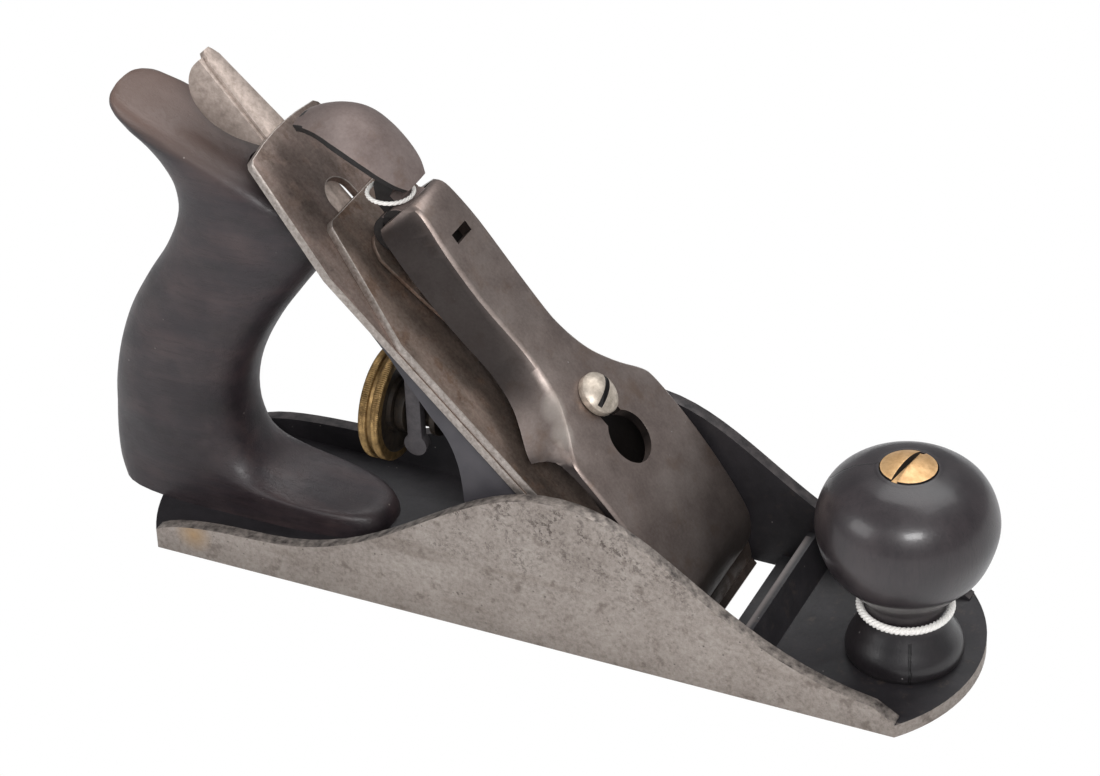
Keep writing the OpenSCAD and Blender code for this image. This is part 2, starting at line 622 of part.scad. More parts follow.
function cap_half(p, side) = concat(
    [for (q = flank) [p[0], side * (p[2] + q[0] * (p[3] - p[2])), p[4] + q[1] * (p[1] - p[4])]],
    [[p[0], side * (p[2] - 0.8), p[1] - 0.05]]);
function reversed(p) = [for (i = [len(p) - 1:-1:0]) p[i]];
function cap_ring(p) = concat(cap_half(p, -1), [[p[0], 0, p[1] + 0.1]], reversed(cap_half(p, 1)));

// Hollow under the upper part: place, half width at the foot, half width at the top, height
hollow = [[53, lc_w / 2 - 2.8, lc_w / 2 - 7.4, 17.3 - lc_t],
    [57, foot_at(0.526), face_at(0.197), 17.4 - lc_t],
    [61, foot_at(0.237), lc_face_w / 2, 17.4 - lc_t],
    [65, lc_foot_w / 2 - 0.2, lc_face_w / 2 - 1.4, 17.4 - lc_t],
    [70, lc_foot_w / 2 - 1.8, lc_face_w / 2 - 2.4, 17.5 - lc_t],
    [87, lc_foot_w / 2 - lc_side, lc_face_w / 2 - 2.4, 18.6 - lc_t],
    [99, lc_foot_w / 2 - lc_side, lc_face_w / 2 - 2.5, 20.2 - lc_t],
    [102, cam_in / 2, cam_in / 2, 20.6 - lc_t], [108, cam_in / 2, cam_in / 2, 21.2 - lc_t],
    [109, cam_in / 2, cam_in / 2, 19.3], [lc_top + 2, cam_in / 2, cam_in / 2, 19.3]];
function hollow_ring(p) = [[p[0], -p[1], lc_foot_h - 1.5], [p[0], -p[2], p[3]],
    [p[0], p[2], p[3]], [p[0], p[1], lc_foot_h - 1.5]];

nose_h = cap_z + cap_hump + gap;        // where the nose bears on the cap iron's hump

module keyhole(depth) {
    translate([lc_screw_u - key_drop, 0, 0]) cylinder(d = key_d, h = depth);
    translate([lc_screw_u - key_drop, -key_slot / 2, 0]) cube([key_drop, key_slot, depth]);
    translate([lc_screw_u, 0, 0]) cylinder(d = key_slot, h = depth);
}

module lever_cap() color("#77706a") on_bed() difference() {
    loft([for (p = spline(cap_form, 3)) cap_ring(p)]);
    loft([for (p = hollow) hollow_ring(p)]);
    across(lc_w + 2) polygon(concat([[0, 0], [0, nose_h], [9.6, nose_h], [14, 9.4], [23, 12.2],
        [32, 14], [42, 14.9]], curve([[42, 14.9], [49, 15.4], [52, 14], [54.5, 8]], 8),
        [[54.5, 0]]));
    keyhole(40);
    translate([slot_u - 1.2, -3.2, 0]) cube([2.4, 6.4, 40]);
    translate([rivet_u, 0, 0]) cylinder(d = spring_rivet_d + 2 * fit, h = rivet_top + fit);
    translate([cam_u, 0, cam_h]) cross_pin(cam_pin_d + 2 * fit, cam_in + 2 * pin_end + 2 * fit);
}

spring_rivet_d = 3;
spring_low = cap_z + gap + 0.1;     // underside of the leaf spring at its free end
spring_high = 17.4 - lc_t - spring_t - 0.1;

function spring_line(lift) = concat(
    curve([[lc_top - 0.6, spring_low + 0.3 + lift], [104, spring_low - 0.1 + lift],
        [96, spring_low + 0.5 + lift], [86, spring_low + 1.6 + lift]], 8),
    curve([[86, spring_low + 1.6 + lift], [78, spring_low + 2.6 + lift],
        [78, spring_high + lift], [71, spring_high + lift]], 8),
    [[rivet_u - 3.4, spring_high + lift]]);

module leaf_spring() color("#8d8880") on_bed() difference() {
    intersection() {
        across(spring_w + 2) polygon(concat(spring_line(0),
            [for (i = [len(spring_line(0)) - 1:-1:0]) spring_line(spring_t)[i]]));
        linear_extrude(30) {
            both_sides([[rivet_u - 5, 4.4], [76, 4.8], [88, spring_w / 2 - 1],
                [lc_top - 5, spring_w / 2], [lc_top - 2, spring_w / 2 - 1.4],
                [lc_top, spring_w / 2 - 4]]);
        }
    }
    translate([rivet_u, 0, 0]) cylinder(d = spring_rivet_d + 2 * fit, h = 30);
}

rivet_top = 16;

module spring_rivet() color("#8d8880") on_bed() translate([rivet_u, 0, 0]) {
    translate([0, 0, spring_high - 0.5]) cylinder(d = spring_rivet_d, h = rivet_top - spring_high + 0.5);
    translate([0, 0, spring_high - 1.1]) cylinder(d = spring_rivet_d + 2, h = 1.1);
}

module lever_cap_screw() color("#a39c92") on_bed() translate([lc_screw_u, 0, 0]) difference() {
    union() {
        translate([0, 0, -9]) cylinder(d = lc_screw_d, h = 9 + head_h);
        intersection() {
            translate([0, 0, head_h]) cylinder(d = lc_head_d, h = head_rise);
            translate([0, 0, head_h + head_rise - dome_r]) sphere(dome_r, $fn = 96);
        }
    }
    rotate([0, 0, 22]) translate([-0.6, -lc_head_d, head_h + head_rise - 1.7])
        cube([1.2, 2 * lc_head_d, 4]);
}

head_h = 17.3 + gap;    // underside of the screw's head
head_rise = 3.8;          // height of the head to the top of its dome
dome_r = 6.4;

// ---- Cam lever ----

// Place along the bed, height of the middle, half width and height of the crown over the edges
thumb = [[114.2, 20.8, 4, 0.2], [117, 21.4, 6.1, 0.9], [121, 22, 7.6, 1.9],
    [126, 22.2, 8.5, 2.8], [131, 21.3, 8.8, 3.1], [135, 19.4, 8.4, 3], [138, 16.4, 7.3, 2.4],
    [140, 12.6, 5.8, 1.4], [140.9, 9, 4.2, 0.4]];

function thumb_dir(k) = let (a = thumb[max(k - 1, 0)], b = thumb[min(k + 1, len(thumb) - 1)],
    d = [b[0] - a[0], b[1] - a[1]]) [-d[1], d[0]] / norm(d);

// One closed ring of the thumb piece: over the top from side to side, and back underneath
function thumb_ring(k, n) = let (p = thumb[k], up = thumb_dir(k), w = p[2] * cam_w / 17)
    [for (i = [0:2 * n + 1]) let (s = i <= n ? 2 * i / n - 1 : 1 - 2 * (i - n - 1) / n,
        z = -p[3] * pow(s, 2) - (i <= n ? 0 : cam_t))
        [p[0] + up[0] * z, s * w, p[1] + up[1] * z]];

module loft(rings) {
    n = len(rings[0]);
    last = len(rings) - 1;
    polyhedron(points = [for (r = rings) each r], faces = concat(
        [for (k = [0:last - 1], i = [0:n - 1]) [k * n + i, k * n + (i + 1) % n,
            (k + 1) * n + (i + 1) % n]],
        [for (k = [0:last - 1], i = [0:n - 1]) [k * n + i, (k + 1) * n + (i + 1) % n,
            (k + 1) * n + i]],
        [[for (i = [n - 1:-1:0]) i]], [[for (i = [0:n - 1]) last * n + i]]));
}

lobe = cam_h - cam_r - (spring_low + spring_t + gap);   // how far the cam's lobe is off its pin

module cam_lever() color("#756e67") on_bed() difference() {
    union() {
        loft([for (k = [0:len(thumb) - 1]) thumb_ring(k, 8)]);
        translate([cam_u, 0, cam_h]) cross_pin(2 * cam_r, cam_in - 2 * gap);
        translate([cam_u, 0, cam_h - lobe]) cross_pin(2 * cam_r, cam_in - 2 * gap);
        across(neck_w) translate([cam_u, cam_h]) polygon([[0, -3], [7, -2.6], [10.5, 0.2],
            [12, 3.4], [14.2, 7.9], [8.4, 7.7], [7.2, 4.2], [6.4, 1.5], [0, 1.5]]);
    }
    translate([cam_u, 0, cam_h]) cross_pin(cam_pin_d + 2 * fit, 40);
}

module cam_pin() color("#8d8880") on_bed() translate([cam_u, 0, cam_h])
    cross_pin(cam_pin_d, cam_in + 2 * pin_end);

// A loop of string round the cam lever's neck
loop_r = 5;
loop_u = 6.8;       // middle of the loop, past the cam's pin
loop_turn = 45;

module lever_string() color("#e4e0d6") on_bed() translate([cam_u + loop_u, 0, cam_h + 0.2])
    rotate([0, loop_turn, 0]) rotate_extrude() translate([loop_r, 0])
        circle(d = lever_cord, $fn = 24);

// ---- Tote ----

tote_x = heel_x - 13.4;         // rear end of the tote's foot, which overhangs the heel
tote_rod_x = heel_x + 7.2;

// Rear and front edges of the tote as matching stations up its height, from the foot's rear end
tote_back = [[1.6, 0], [0.4, 4], [0, 9], [0.1, 14], [0.6, 20], [1.6, 28], [4, 38], [7.6, 47.5],
    [12.6, 56.5], [18, 65], [21.6, 73], [22.6, 79], [21.4, 85], [18, 90.5], [14, 95],
    [10, 98.6], [8.2, 101.4], [9, 103.8]];
tote_front = [[68.5, 0], [68.2, 2.6], [65.6, 5], [56, 5.6], [46, 7.4], [38.6, 11.6], [35, 19],
    [34.6, 28], [37.2, 38], [42.8, 49], [49.6, 59], [55.6, 67.4], [59, 74.5], [57, 80.5],
    [49, 86.5], [36, 93.4], [24, 99], [13.6, 102.8]];

function tote_ring(b, f, n, thick, square) =
    [for (i = [0:n - 1]) let (a = 360 * i / n, c = cos(a), s = sin(a),
        k = pow(pow(abs(c), square) + pow(abs(s), square), -1 / square),
        m = (b + f) / 2, h = (f - b) / 2)
        [m[0] + h[0] * k * c, -thick * k * s, m[1] + h[1] * k * c]];

// A station's place in the plane. Above the waist the tote keeps behind the sloping cutter, so
// a taller tote leans back by as much as it grows.
waist = 30;
tote_model = [68.5, 105, 103.8];
function tote_scale(p) = let (
    grown = p[1] * (tote_h - floor_t - tote_model[2]) / tote_model[1],
    lean = grown * min(1, max(0, (p[1] - waist) / waist)))
    [tote_x + p[0] * tote_l / tote_model[0] - lean,
    floor_t + p[1] * tote_model[2] / tote_model[1] + grown];

// The rod runs from its boss to the nut's seat below the horn
nut_point = tote_scale([43.76, 81.68]);
rod_lean = atan2(nut_point[0] - tote_rod_x, nut_point[1] - floor_t);
nut_seat = norm([nut_point[0] - tote_rod_x, nut_point[1] - floor_t]);
nut_l = 9;

// The horn is rounded off over its last rings, so it ends in a blunt tip
horn = [0.5, 0.76, 0.88, 0.95, 0.98];

module tote_form() {
    back = spline(tote_back, 2);
    front = spline(tote_front, 2);
    last = len(back) - 1;
    loft([for (k = [0:last]) tote_ring(tote_scale(back[k]), tote_scale(front[k]), 24,
        tote_t / 2 * (last - k < len(horn) ? horn[last - k] : 1), 2.6 + 0.8 * max(0, 8 - k) / 8)]);
}

module tote() color("#4b2a20") difference() {
    tote_form();
    tote_axis() translate([0, 0, -2]) cylinder(d = rod_d + 0.8, h = 120);
    tote_axis() translate([0, 0, nut_seat]) cylinder(d = nut_d + 0.4, h = 40);
    tote_axis() translate([0, 0, nut_seat - nut_l]) cylinder(d = rod_d + 3, h = 20);
    translate([tote_rod_x, 0, floor_t - 1]) cylinder(d = boss_d + 0.4, h = boss_h + 1.2);
}

module tote_rod() color("#8a857d") tote_axis() translate([0, 0, boss_h - thread_depth + 0.4])
    cylinder(d = rod_d, h = nut_seat + thread_depth - boss_h - 0.8);

module slotted_nut(d, h) difference() {
    union() {
        cylinder(d = d, h = 2.4);
        translate([0, 0, 2.4 - d * 1.1 + 1.4]) intersection() {
            sphere(d * 1.1);
            translate([0, 0, d * 1.1 - 1.4 - eps]) cylinder(d = d, h = 4);
        }
        translate([0, 0, -h]) cylinder(d = rod_d + 2.4, h = h + eps);
    }
    translate([0, 0, -h - 1]) cylinder(d = rod_d + 2 * fit, h = h + 1.6);
    translate([-0.7, -d, 1.9]) cube([1.4, 2 * d, 4]);
}

module tote_nut() color("#b98f4a") tote_axis() translate([0, 0, nut_seat])
    slotted_nut(nut_d, nut_l - 0.4);

// ---- Knob ----

// Outline of the knob, radius and height above the floor
function knob_outline() = spline([[knob_foot / 2 - 0.9, 0], [knob_foot / 2, 1.6],
    [knob_foot / 2 - 0.4, 4.2], [knob_foot / 2 - 2.2, 7.6], [knob_neck / 2 + 0.4, 10.6],
    [knob_neck / 2, 13], [knob_neck / 2 + 0.8, 16], [knob_d / 2 * 0.69, 20.4],
    [knob_d / 2 * 0.88, 25], [knob_d / 2, 32.4], [knob_d / 2 * 0.97, 38],
    [knob_d / 2 * 0.84, 42.8], [knob_d / 2 * 0.6, 46.3], [nut_d / 2 + 1, knob_h - 0.5]], 3);

nut_sink = 2.4;

module at_knob() translate([knob_x, 0, floor_t]) children();

module knob() color("#2c2322") at_knob() difference() {
    rotate_extrude($fn = 96) polygon(concat([[0, 0]], knob_outline(),
        [[nut_d / 2 + 0.2, knob_h], [0, knob_h]]));
    translate([0, 0, -1]) cylinder(d = rod_d + 0.8, h = 100);
    translate([0, 0, knob_h - nut_sink]) cylinder(d = nut_d + 0.4, h = 10);
    translate([0, 0, knob_h - nut_sink - nut_l]) cylinder(d = rod_d + 3, h = 20);
    translate([0, 0, -1]) cylinder(d = boss_d + 0.4, h = boss_h + 1.2);
}

module knob_rod() color("#8a857d") at_knob() translate([0, 0, boss_h - thread_depth + 0.4])
    cylinder(d = rod_d, h = knob_h - nut_sink + thread_depth - boss_h - 0.8);

module knob_nut() color("#c39a52") at_knob() translate([0, 0, knob_h - nut_sink])
    rotate([0, 0, -10]) slotted_nut(nut_d, nut_l - 0.4);

string_z = 12.6;

module knob_string() color("#ece8de") at_knob() translate([0, 0, string_z])
    rotate_extrude($fn = 64) translate([knob_neck / 2 + knob_cord / 2 + 0.15, 0])
        circle(d = knob_cord, $fn = 24);

body_casting();
frog();
frog_screws();
frog_washers();
depth_screw();
depth_hub();
depth_wheel();
yoke_lever();
yoke_pin();
lateral_lever();
lateral_pivot();
lateral_roller();
roller_rivet();
plane_iron();
cap_iron();
cap_iron_screw();
lever_cap();
cam_lever();
cam_pin();
leaf_spring();
spring_rivet();
lever_cap_screw();
tote();
tote_rod();
tote_nut();
knob();
knob_rod();
knob_nut();
knob_string();
lever_string();
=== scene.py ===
import math

import bmesh
import bpy
from mathutils import Matrix, Vector


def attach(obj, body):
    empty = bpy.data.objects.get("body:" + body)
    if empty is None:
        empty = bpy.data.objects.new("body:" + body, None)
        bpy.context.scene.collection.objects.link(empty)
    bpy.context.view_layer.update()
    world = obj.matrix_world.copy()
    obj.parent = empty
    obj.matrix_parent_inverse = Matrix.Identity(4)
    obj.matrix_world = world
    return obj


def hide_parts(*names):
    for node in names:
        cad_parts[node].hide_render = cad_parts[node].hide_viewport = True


MM = 0.001
ROOT2 = math.sqrt(2)
BED_X = 35.7             # where the bed meets the sole's underside
FLOOR_Z = 3.2            # top of the casting's floor
RIB_X = 50.4
RIB_TOP = 6.4
KNOB_X = 80.6
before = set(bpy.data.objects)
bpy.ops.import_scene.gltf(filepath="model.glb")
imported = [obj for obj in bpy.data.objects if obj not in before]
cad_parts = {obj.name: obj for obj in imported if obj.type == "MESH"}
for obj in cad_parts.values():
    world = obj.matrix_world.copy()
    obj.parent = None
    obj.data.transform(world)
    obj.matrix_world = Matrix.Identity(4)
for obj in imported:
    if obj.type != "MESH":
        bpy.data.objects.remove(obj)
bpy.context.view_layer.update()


# ---- Places and meshes ----

def bed(u, y, h):
    """A point u along the bed, y across it and h out of it, all in mm."""
    return Vector((BED_X + (h - u) / ROOT2, y, (h + u) / ROOT2)) * MM


def add_object(name, verts, faces, smooth=True):
    mesh = bpy.data.meshes.new(name)
    mesh.from_pydata([tuple(v) for v in verts], [], faces)
    mesh.validate()
    mesh.update()
    for poly in mesh.polygons:
        poly.use_smooth = smooth
    obj = bpy.data.objects.new(name, mesh)
    bpy.context.scene.collection.objects.link(obj)
    return obj


def loft(name, rings, caps=True):
    n = len(rings[0])
    verts = [v for ring in rings for v in ring]
    faces = []
    for k in range(len(rings) - 1):
        for i in range(n):
            j = (i + 1) % n
            faces.append((k * n + i, k * n + j, (k + 1) * n + j, (k + 1) * n + i))
    if caps:
        faces.append(tuple(range(n - 1, -1, -1)))
        faces.append(tuple((len(rings) - 1) * n + i for i in range(n)))
    return add_object(name, verts, faces)


def lathe(name, profile, place, steps=160, wave=None):
    """Turns a profile of (radius, height) about the local Z of place, a matrix in metres."""
    rings = []
    for i in range(steps):
        a = 2 * math.pi * i / steps
        ring = []
        for k, (r, z) in enumerate(profile):
            rr = r + (wave(k, a) if wave else 0)
            ring.append(place @ Vector((rr * math.cos(a) * MM, rr * math.sin(a) * MM, z * MM)))
        rings.append(ring)
    n = len(profile)
    verts = [v for ring in rings for v in ring]
    faces = []
    for i in range(steps):
        j = (i + 1) % steps
        for k in range(n - 1):
            faces.append((i * n + k, j * n + k, j * n + k + 1, i * n + k + 1))
    return add_object(name, verts, faces)


def catmull(points, n):
    out = []
    for i in range(len(points) - 1):
        a = points[max(i - 1, 0)]
        b, c = points[i], points[i + 1]
        d = points[min(i + 2, len(points) - 1)]
        for k in range(n):
            t = k / n
            out.append([bb + t * ((cc - aa) / 2 + t * (aa - 2.5 * bb + 2 * cc - dd / 2
                        + t * (1.5 * (bb - cc) + (dd - aa) / 2)))
                        for aa, bb, cc, dd in zip(a, b, c, d)])
    out.append(list(points[-1]))
    return out


def smooth_by_angle(obj, degrees):
    mesh = obj.data
    for poly in mesh.polygons:
        poly.use_smooth = True
    bm = bmesh.new()
    bm.from_mesh(mesh)
    limit = math.radians(degrees)
    for edge in bm.edges:
        edge.smooth = len(edge.link_faces) == 2 and edge.calc_face_angle(0) < limit
    bm.to_mesh(mesh)
    bm.free()


def apply_modifiers(obj):
    graph = bpy.context.evaluated_depsgraph_get()
    mesh = bpy.data.meshes.new_from_object(obj.evaluated_get(graph))
    obj.modifiers.clear()
    obj.data = mesh


def soften(node, width=0.25, angle=34, segments=2, mats=(), worn=None, flat=1.2):
    """A copy of a CAD node with its sharp edges broken, the breaks in the worn material.

    Faces that meet within flat degrees are joined first, unless flat is 0."""
    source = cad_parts[node]
    obj = bpy.data.objects.new(node + "_look", source.data.copy())
    bpy.context.scene.collection.objects.link(obj)
    obj.data.materials.clear()
    for mat in mats:
        obj.data.materials.append(mat)
    bm = bmesh.new()
    bm.from_mesh(obj.data)
    bmesh.ops.remove_doubles(bm, verts=bm.verts, dist=0.002 * MM)
    if flat:
        bmesh.ops.dissolve_limit(bm, angle_limit=math.radians(flat), verts=bm.verts,
                                 edges=bm.edges)
    for face in bm.faces:
        face.material_index = 0
    bm.to_mesh(obj.data)
    bm.free()
    bevel = obj.modifiers.new("edges", "BEVEL")
    bevel.width = width * MM
    bevel.segments = segments
    bevel.limit_method = "ANGLE"
    bevel.angle_limit = math.radians(angle)
    bevel.use_clamp_overlap = True
    bevel.miter_outer = "MITER_ARC"
    if worn is not None:
        bevel.material = worn
    apply_modifiers(obj)
    smooth_by_angle(obj, angle)
    return obj


def finish_piece(obj, body, node, slot, *mats):
    for mat in mats:
        obj.data.materials.append(mat)
    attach(obj, body)
    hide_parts(node)
    return obj


def paint(obj, choose, keep=None):
    for poly in obj.data.polygons:
        if poly.material_index != keep:
            poly.material_index = choose(poly.center / MM, poly.normal)


# ---- Materials ----

def rgb(r, g, b):
    """An sRGB colour, 0 to 255, as the linear colour a socket takes."""
    def lin(c):
        c = c / 255
        return c / 12.92 if c <= 0.04045 else ((c + 0.055) / 1.055) ** 2.4
    return (lin(r), lin(g), lin(b), 1)


class Shader:
    def __init__(self, name):
        self.mat = bpy.data.materials.new(name)
        self.mat.use_nodes = True
        self.tree = self.mat.node_tree
        self.tree.nodes.clear()
        self.out = self.tree.nodes.new("ShaderNodeOutputMaterial")
        self.bsdf = self.tree.nodes.new("ShaderNodeBsdfPrincipled")
        self.tree.links.new(self.bsdf.outputs[0], self.out.inputs[0])
        self.coord = self.tree.nodes.new("ShaderNodeTexCoord").outputs["Object"]

    def put(self, socket, value):
        if isinstance(value, bpy.types.NodeSocket):
            self.tree.links.new(value, socket)
        else:
            socket.default_value = value

    def set(self, **values):
        for key, value in values.items():
            self.put(self.bsdf.inputs[key.replace("_", " ")], value)

    def vec(self, scale=(1, 1, 1), move=(0, 0, 0), turn=(0, 0, 0)):
        """Object coordinates in millimetres, stretched by scale."""
        node = self.tree.nodes.new("ShaderNodeMapping")
        node.inputs["Scale"].default_value = [s / MM for s in scale]
        node.inputs["Location"].default_value = move
        node.inputs["Rotation"].default_value = turn
        self.tree.links.new(self.coord, node.inputs["Vector"])
        return node.outputs[0]

    def noise(self, size, detail=4, rough=0.55, stretch=(1, 1, 1), move=0.0, turn=(0, 0, 0)):
        """Noise whose features are about size millimetres across."""
        node = self.tree.nodes.new("ShaderNodeTexNoise")
        node.inputs["Scale"].default_value = 1
        node.inputs["Detail"].default_value = detail
        node.inputs["Roughness"].default_value = rough
        scale = [s / size for s in stretch]
        self.tree.links.new(self.vec(scale, (move, move, move), turn), node.inputs["Vector"])
        return node.outputs["Fac"]

    def cells(self, size, move=0.0, stretch=(1, 1, 1)):
        node = self.tree.nodes.new("ShaderNodeTexVoronoi")
        node.inputs["Scale"].default_value = 1
        scale = [s / size for s in stretch]
        self.tree.links.new(self.vec(scale, (move, move, move)), node.inputs["Vector"])
        return node.outputs["Distance"]

    def ramp(self, value, *stops):
        node = self.tree.nodes.new("ShaderNodeValToRGB")
        marks = node.color_ramp.elements
        while len(marks) < len(stops):
            marks.new(0.5)
        for mark, (place, colour) in zip(marks, stops):
            mark.position = place
            mark.color = colour if hasattr(colour, "__len__") else (colour, colour, colour, 1)
        self.put(node.inputs[0], value)
        return node.outputs[0]

    def mix(self, amount, a, b):
        node = self.tree.nodes.new("ShaderNodeMix")
        node.data_type = "RGBA"
        self.put(node.inputs[0], amount)
        self.put(node.inputs[6], a)
        self.put(node.inputs[7], b)
        return node.outputs[2]

    def dim(self, colour, tone):
        """The colour times a tone for each channel."""
        node = self.tree.nodes.new("ShaderNodeVectorMath")
        node.operation = "MULTIPLY"
        self.put(node.inputs[0], colour)
        node.inputs[1].default_value = tone
        return node.outputs[0]

    def math(self, op, a, b=0.0, c=0.0):
        node = self.tree.nodes.new("ShaderNodeMath")
        node.operation = op
        for socket, value in zip(node.inputs, (a, b, c)):
            self.put(socket, value)
        return node.outputs[0]

    def axis(self, which):
        node = self.tree.nodes.new("ShaderNodeSeparateXYZ")
        self.tree.links.new(self.vec(), node.inputs[0])
        return node.outputs["XYZ".index(which)]

    def near(self, centre, radius):
        """1 at a point in millimetres, falling to 0 at that radius."""
        node = self.tree.nodes.new("ShaderNodeVectorMath")
        node.operation = "DISTANCE"
        self.tree.links.new(self.vec(), node.inputs[0])
        node.inputs[1].default_value = centre
        return self.ramp(self.math("DIVIDE", node.outputs["Value"], radius), (0, 1.0), (1, 0.0))

    def edge(self, low, high):
        """Worn edges: 1 where the surface is sharply convex."""
        node = self.tree.nodes.new("ShaderNodeNewGeometry")
        return self.ramp(node.outputs["Pointiness"], (low, 0.0), (high, 1.0))

    def facing(self, direction, low, high):
        """0 to 1 as the surface turns to face a direction, from one cosine to another."""
        node = self.tree.nodes.new("ShaderNodeVectorMath")
        node.operation = "DOT_PRODUCT"
        self.tree.links.new(self.tree.nodes.new("ShaderNodeNewGeometry").outputs["Normal"],
                            node.inputs[0])
        node.inputs[1].default_value = direction
        return self.ramp(node.outputs["Value"], (low, 0.0), (high, 1.0))

    def bump(self, height, distance, strength=1.0, under=None):
        node = self.tree.nodes.new("ShaderNodeBump")
        node.inputs["Strength"].default_value = strength
        node.inputs["Distance"].default_value = distance * MM
        self.put(node.inputs["Height"], height)
        if under is not None:
            self.tree.links.new(under, node.inputs["Normal"])
        return node.outputs[0]


def bare_iron():
    """Side walls and sole: bare, finely pitted, with grey bloom and a few rust spots."""
    s = Shader("bare_iron")
    cloud = s.noise(16, 5, 0.6)
    fine = s.noise(0.9, 6, 0.7, (1, 1, 1), 3)
    base = s.ramp(cloud, (0.34, rgb(140, 130, 123)), (0.52, rgb(158, 148, 141)),
                  (0.7, rgb(172, 163, 156)))
    grain = s.ramp(fine, (0.3, rgb(104, 96, 90)), (0.5, rgb(160, 151, 144)), (0.72, rgb(188, 180, 173)))
    base = s.mix(0.42, base, grain)
    pits = s.ramp(s.cells(1.7, 2), (0.05, 1.0), (0.19, 0.0))
    rare = s.ramp(s.noise(2.4, 2, 0.5, (1, 1, 1), 11), (0.52, 0.0), (0.6, 1.0))
    pits = s.math("MULTIPLY", pits, rare)
    base = s.mix(s.math("MULTIPLY", pits, 0.75), base, rgb(64, 56, 52))
    hump = s.ramp(s.math("DIVIDE", s.axis("Z"), 40.0), (0.25, 0.0), (0.72, 1.0))
    cluster = s.ramp(s.noise(6, 5, 0.65, (1, 1, 1), 41), (0.42, 0.0), (0.6, 1.0))
    specks = s.ramp(s.noise(0.9, 4, 0.7, (1, 1, 1), 44), (0.5, 0.0), (0.58, 1.0))
    specks = s.math("MULTIPLY", s.math("MULTIPLY", specks, cluster), hump)
    base = s.mix(s.math("MULTIPLY", specks, 0.8), base, rgb(78, 68, 64))
    streak = s.ramp(s.noise(5, 5, 0.6, (0.12, 1, 1), 8), (0.56, 0.0), (0.72, 0.5))
    base = s.mix(streak, base, rgb(118, 106, 97))
    blotch = s.ramp(s.noise(4.5, 4, 0.6, (1, 1, 1), 21), (0.6, 0.0), (0.68, 0.6))
    base = s.mix(blotch, base, rgb(110, 99, 92))
    paint_left = s.ramp(s.noise(1.6, 6, 0.75, (1, 1, 1), 31), (0.5, 0.0), (0.58, 1.0))
    toe = s.ramp(s.math("DIVIDE", s.axis("X"), 100.0), (0.72, 0.0), (0.88, 1.0))
    high = s.ramp(s.math("DIVIDE", s.axis("Z"), 10.0), (0.24, 0.0), (0.42, 1.0))
    paint_left = s.math("MULTIPLY", s.math("MULTIPLY", paint_left, toe), high)
    base = s.mix(s.math("MULTIPLY", paint_left, 0.5), base, rgb(84, 76, 72))
    spot = s.near((-79.5, -24.7, 6.2), 5.0)
    base = s.mix(s.math("MULTIPLY", spot, 0.75), base, rgb(176, 142, 96))
    rough = s.ramp(fine, (0.3, 0.66), (0.7, 0.46))
    dents = s.bump(fine, 0.05, 0.6)
    s.set(Base_Color=base, Metallic=0.62, Roughness=rough, Normal=s.bump(pits, -0.08, 0.8, dents))
    return s.mat


def japanning():
    """Old black japanning, rubbed brown near the toe and the mouth."""
    s = Shader("japanning")
    soft = s.noise(9, 5, 0.6)
    fine = s.noise(0.8, 5, 0.65, (1, 1, 1), 4)
    base = s.ramp(soft, (0.35, rgb(27, 25, 28)), (0.68, rgb(42, 39, 42)))
    bare = s.ramp(s.noise(2.6, 6, 0.75, (1, 1, 1), 6), (0.56, 0.0), (0.66, 1.0))
    zone = s.ramp(s.math("DIVIDE", s.axis("X"), 100.0), (0.3, 0.0), (0.5, 0.5), (0.95, 1.0))
    bare = s.math("MULTIPLY", s.math("MULTIPLY", bare, zone), 0.5)
    base = s.mix(bare, base, s.ramp(fine, (0.3, rgb(62, 50, 42)), (0.7, rgb(96, 82, 72))))
    dust = s.ramp(s.cells(4.3, 5), (0.015, 1.0), (0.045, 0.0))
    base = s.mix(s.math("MULTIPLY", dust, 0.55), base, rgb(170, 164, 158))
    away = s.math("ABSOLUTE", s.axis("Y"))
    # Painted highlight: the narrow top of the rib before the mouth is lightened as a lit strip.
    rib_highlight = s.ramp(s.math("ABSOLUTE", s.math("SUBTRACT", s.axis("X"), RIB_X)), (0.0, 1.0), (1.0, 0.0))
    rib_highlight = s.math("MULTIPLY", rib_highlight, s.math("GREATER_THAN", s.axis("Z"), RIB_TOP))
    rib_highlight = s.math("MULTIPLY", rib_highlight, s.math("LESS_THAN", away, 20.0))
    base = s.mix(s.math("MULTIPLY", rib_highlight, 0.6), base, rgb(132, 123, 120))
    rim = s.ramp(s.math("DIVIDE", away, 50.0), (0.455, 0.0), (0.485, 1.0))
    ragged = s.ramp(s.noise(1.5, 6, 0.75, (1, 1, 1), 17), (0.5, 0.0), (0.6, 1.0))
    base = s.mix(s.math("MULTIPLY", s.math("MULTIPLY", rim, ragged), 0.7), base, rgb(128, 117, 110))
    s.set(Base_Color=base, Metallic=0.0, Roughness=s.ramp(fine, (0.3, 0.42), (0.7, 0.56)),
          Normal=s.bump(s.noise(1.8, 4, 0.5, (1, 1, 1), 12), 0.1, 0.6), Coat_Weight=0.06,
          Coat_Roughness=0.3)
    return s.mat


def frog_iron():
    """The frog's japanned flanks: smooth blue-grey, darker towards its foot."""
    s = Shader("frog_iron")
    soft = s.noise(8, 4, 0.5)
    base = s.ramp(soft, (0.35, rgb(56, 54, 59)), (0.68, rgb(72, 69, 73)))
    low = s.ramp(s.math("DIVIDE", s.axis("Z"), 30.0), (0.3, 1.0), (0.62, 0.0))
    base = s.mix(s.math("MULTIPLY", low, 0.8), base, rgb(28, 26, 28))
    fine = s.noise(0.9, 4, 0.6, (1, 1, 1), 4)
    s.set(Base_Color=base, Metallic=0.0, Roughness=0.5, Normal=s.bump(fine, 0.03, 0.5))
    return s.mat


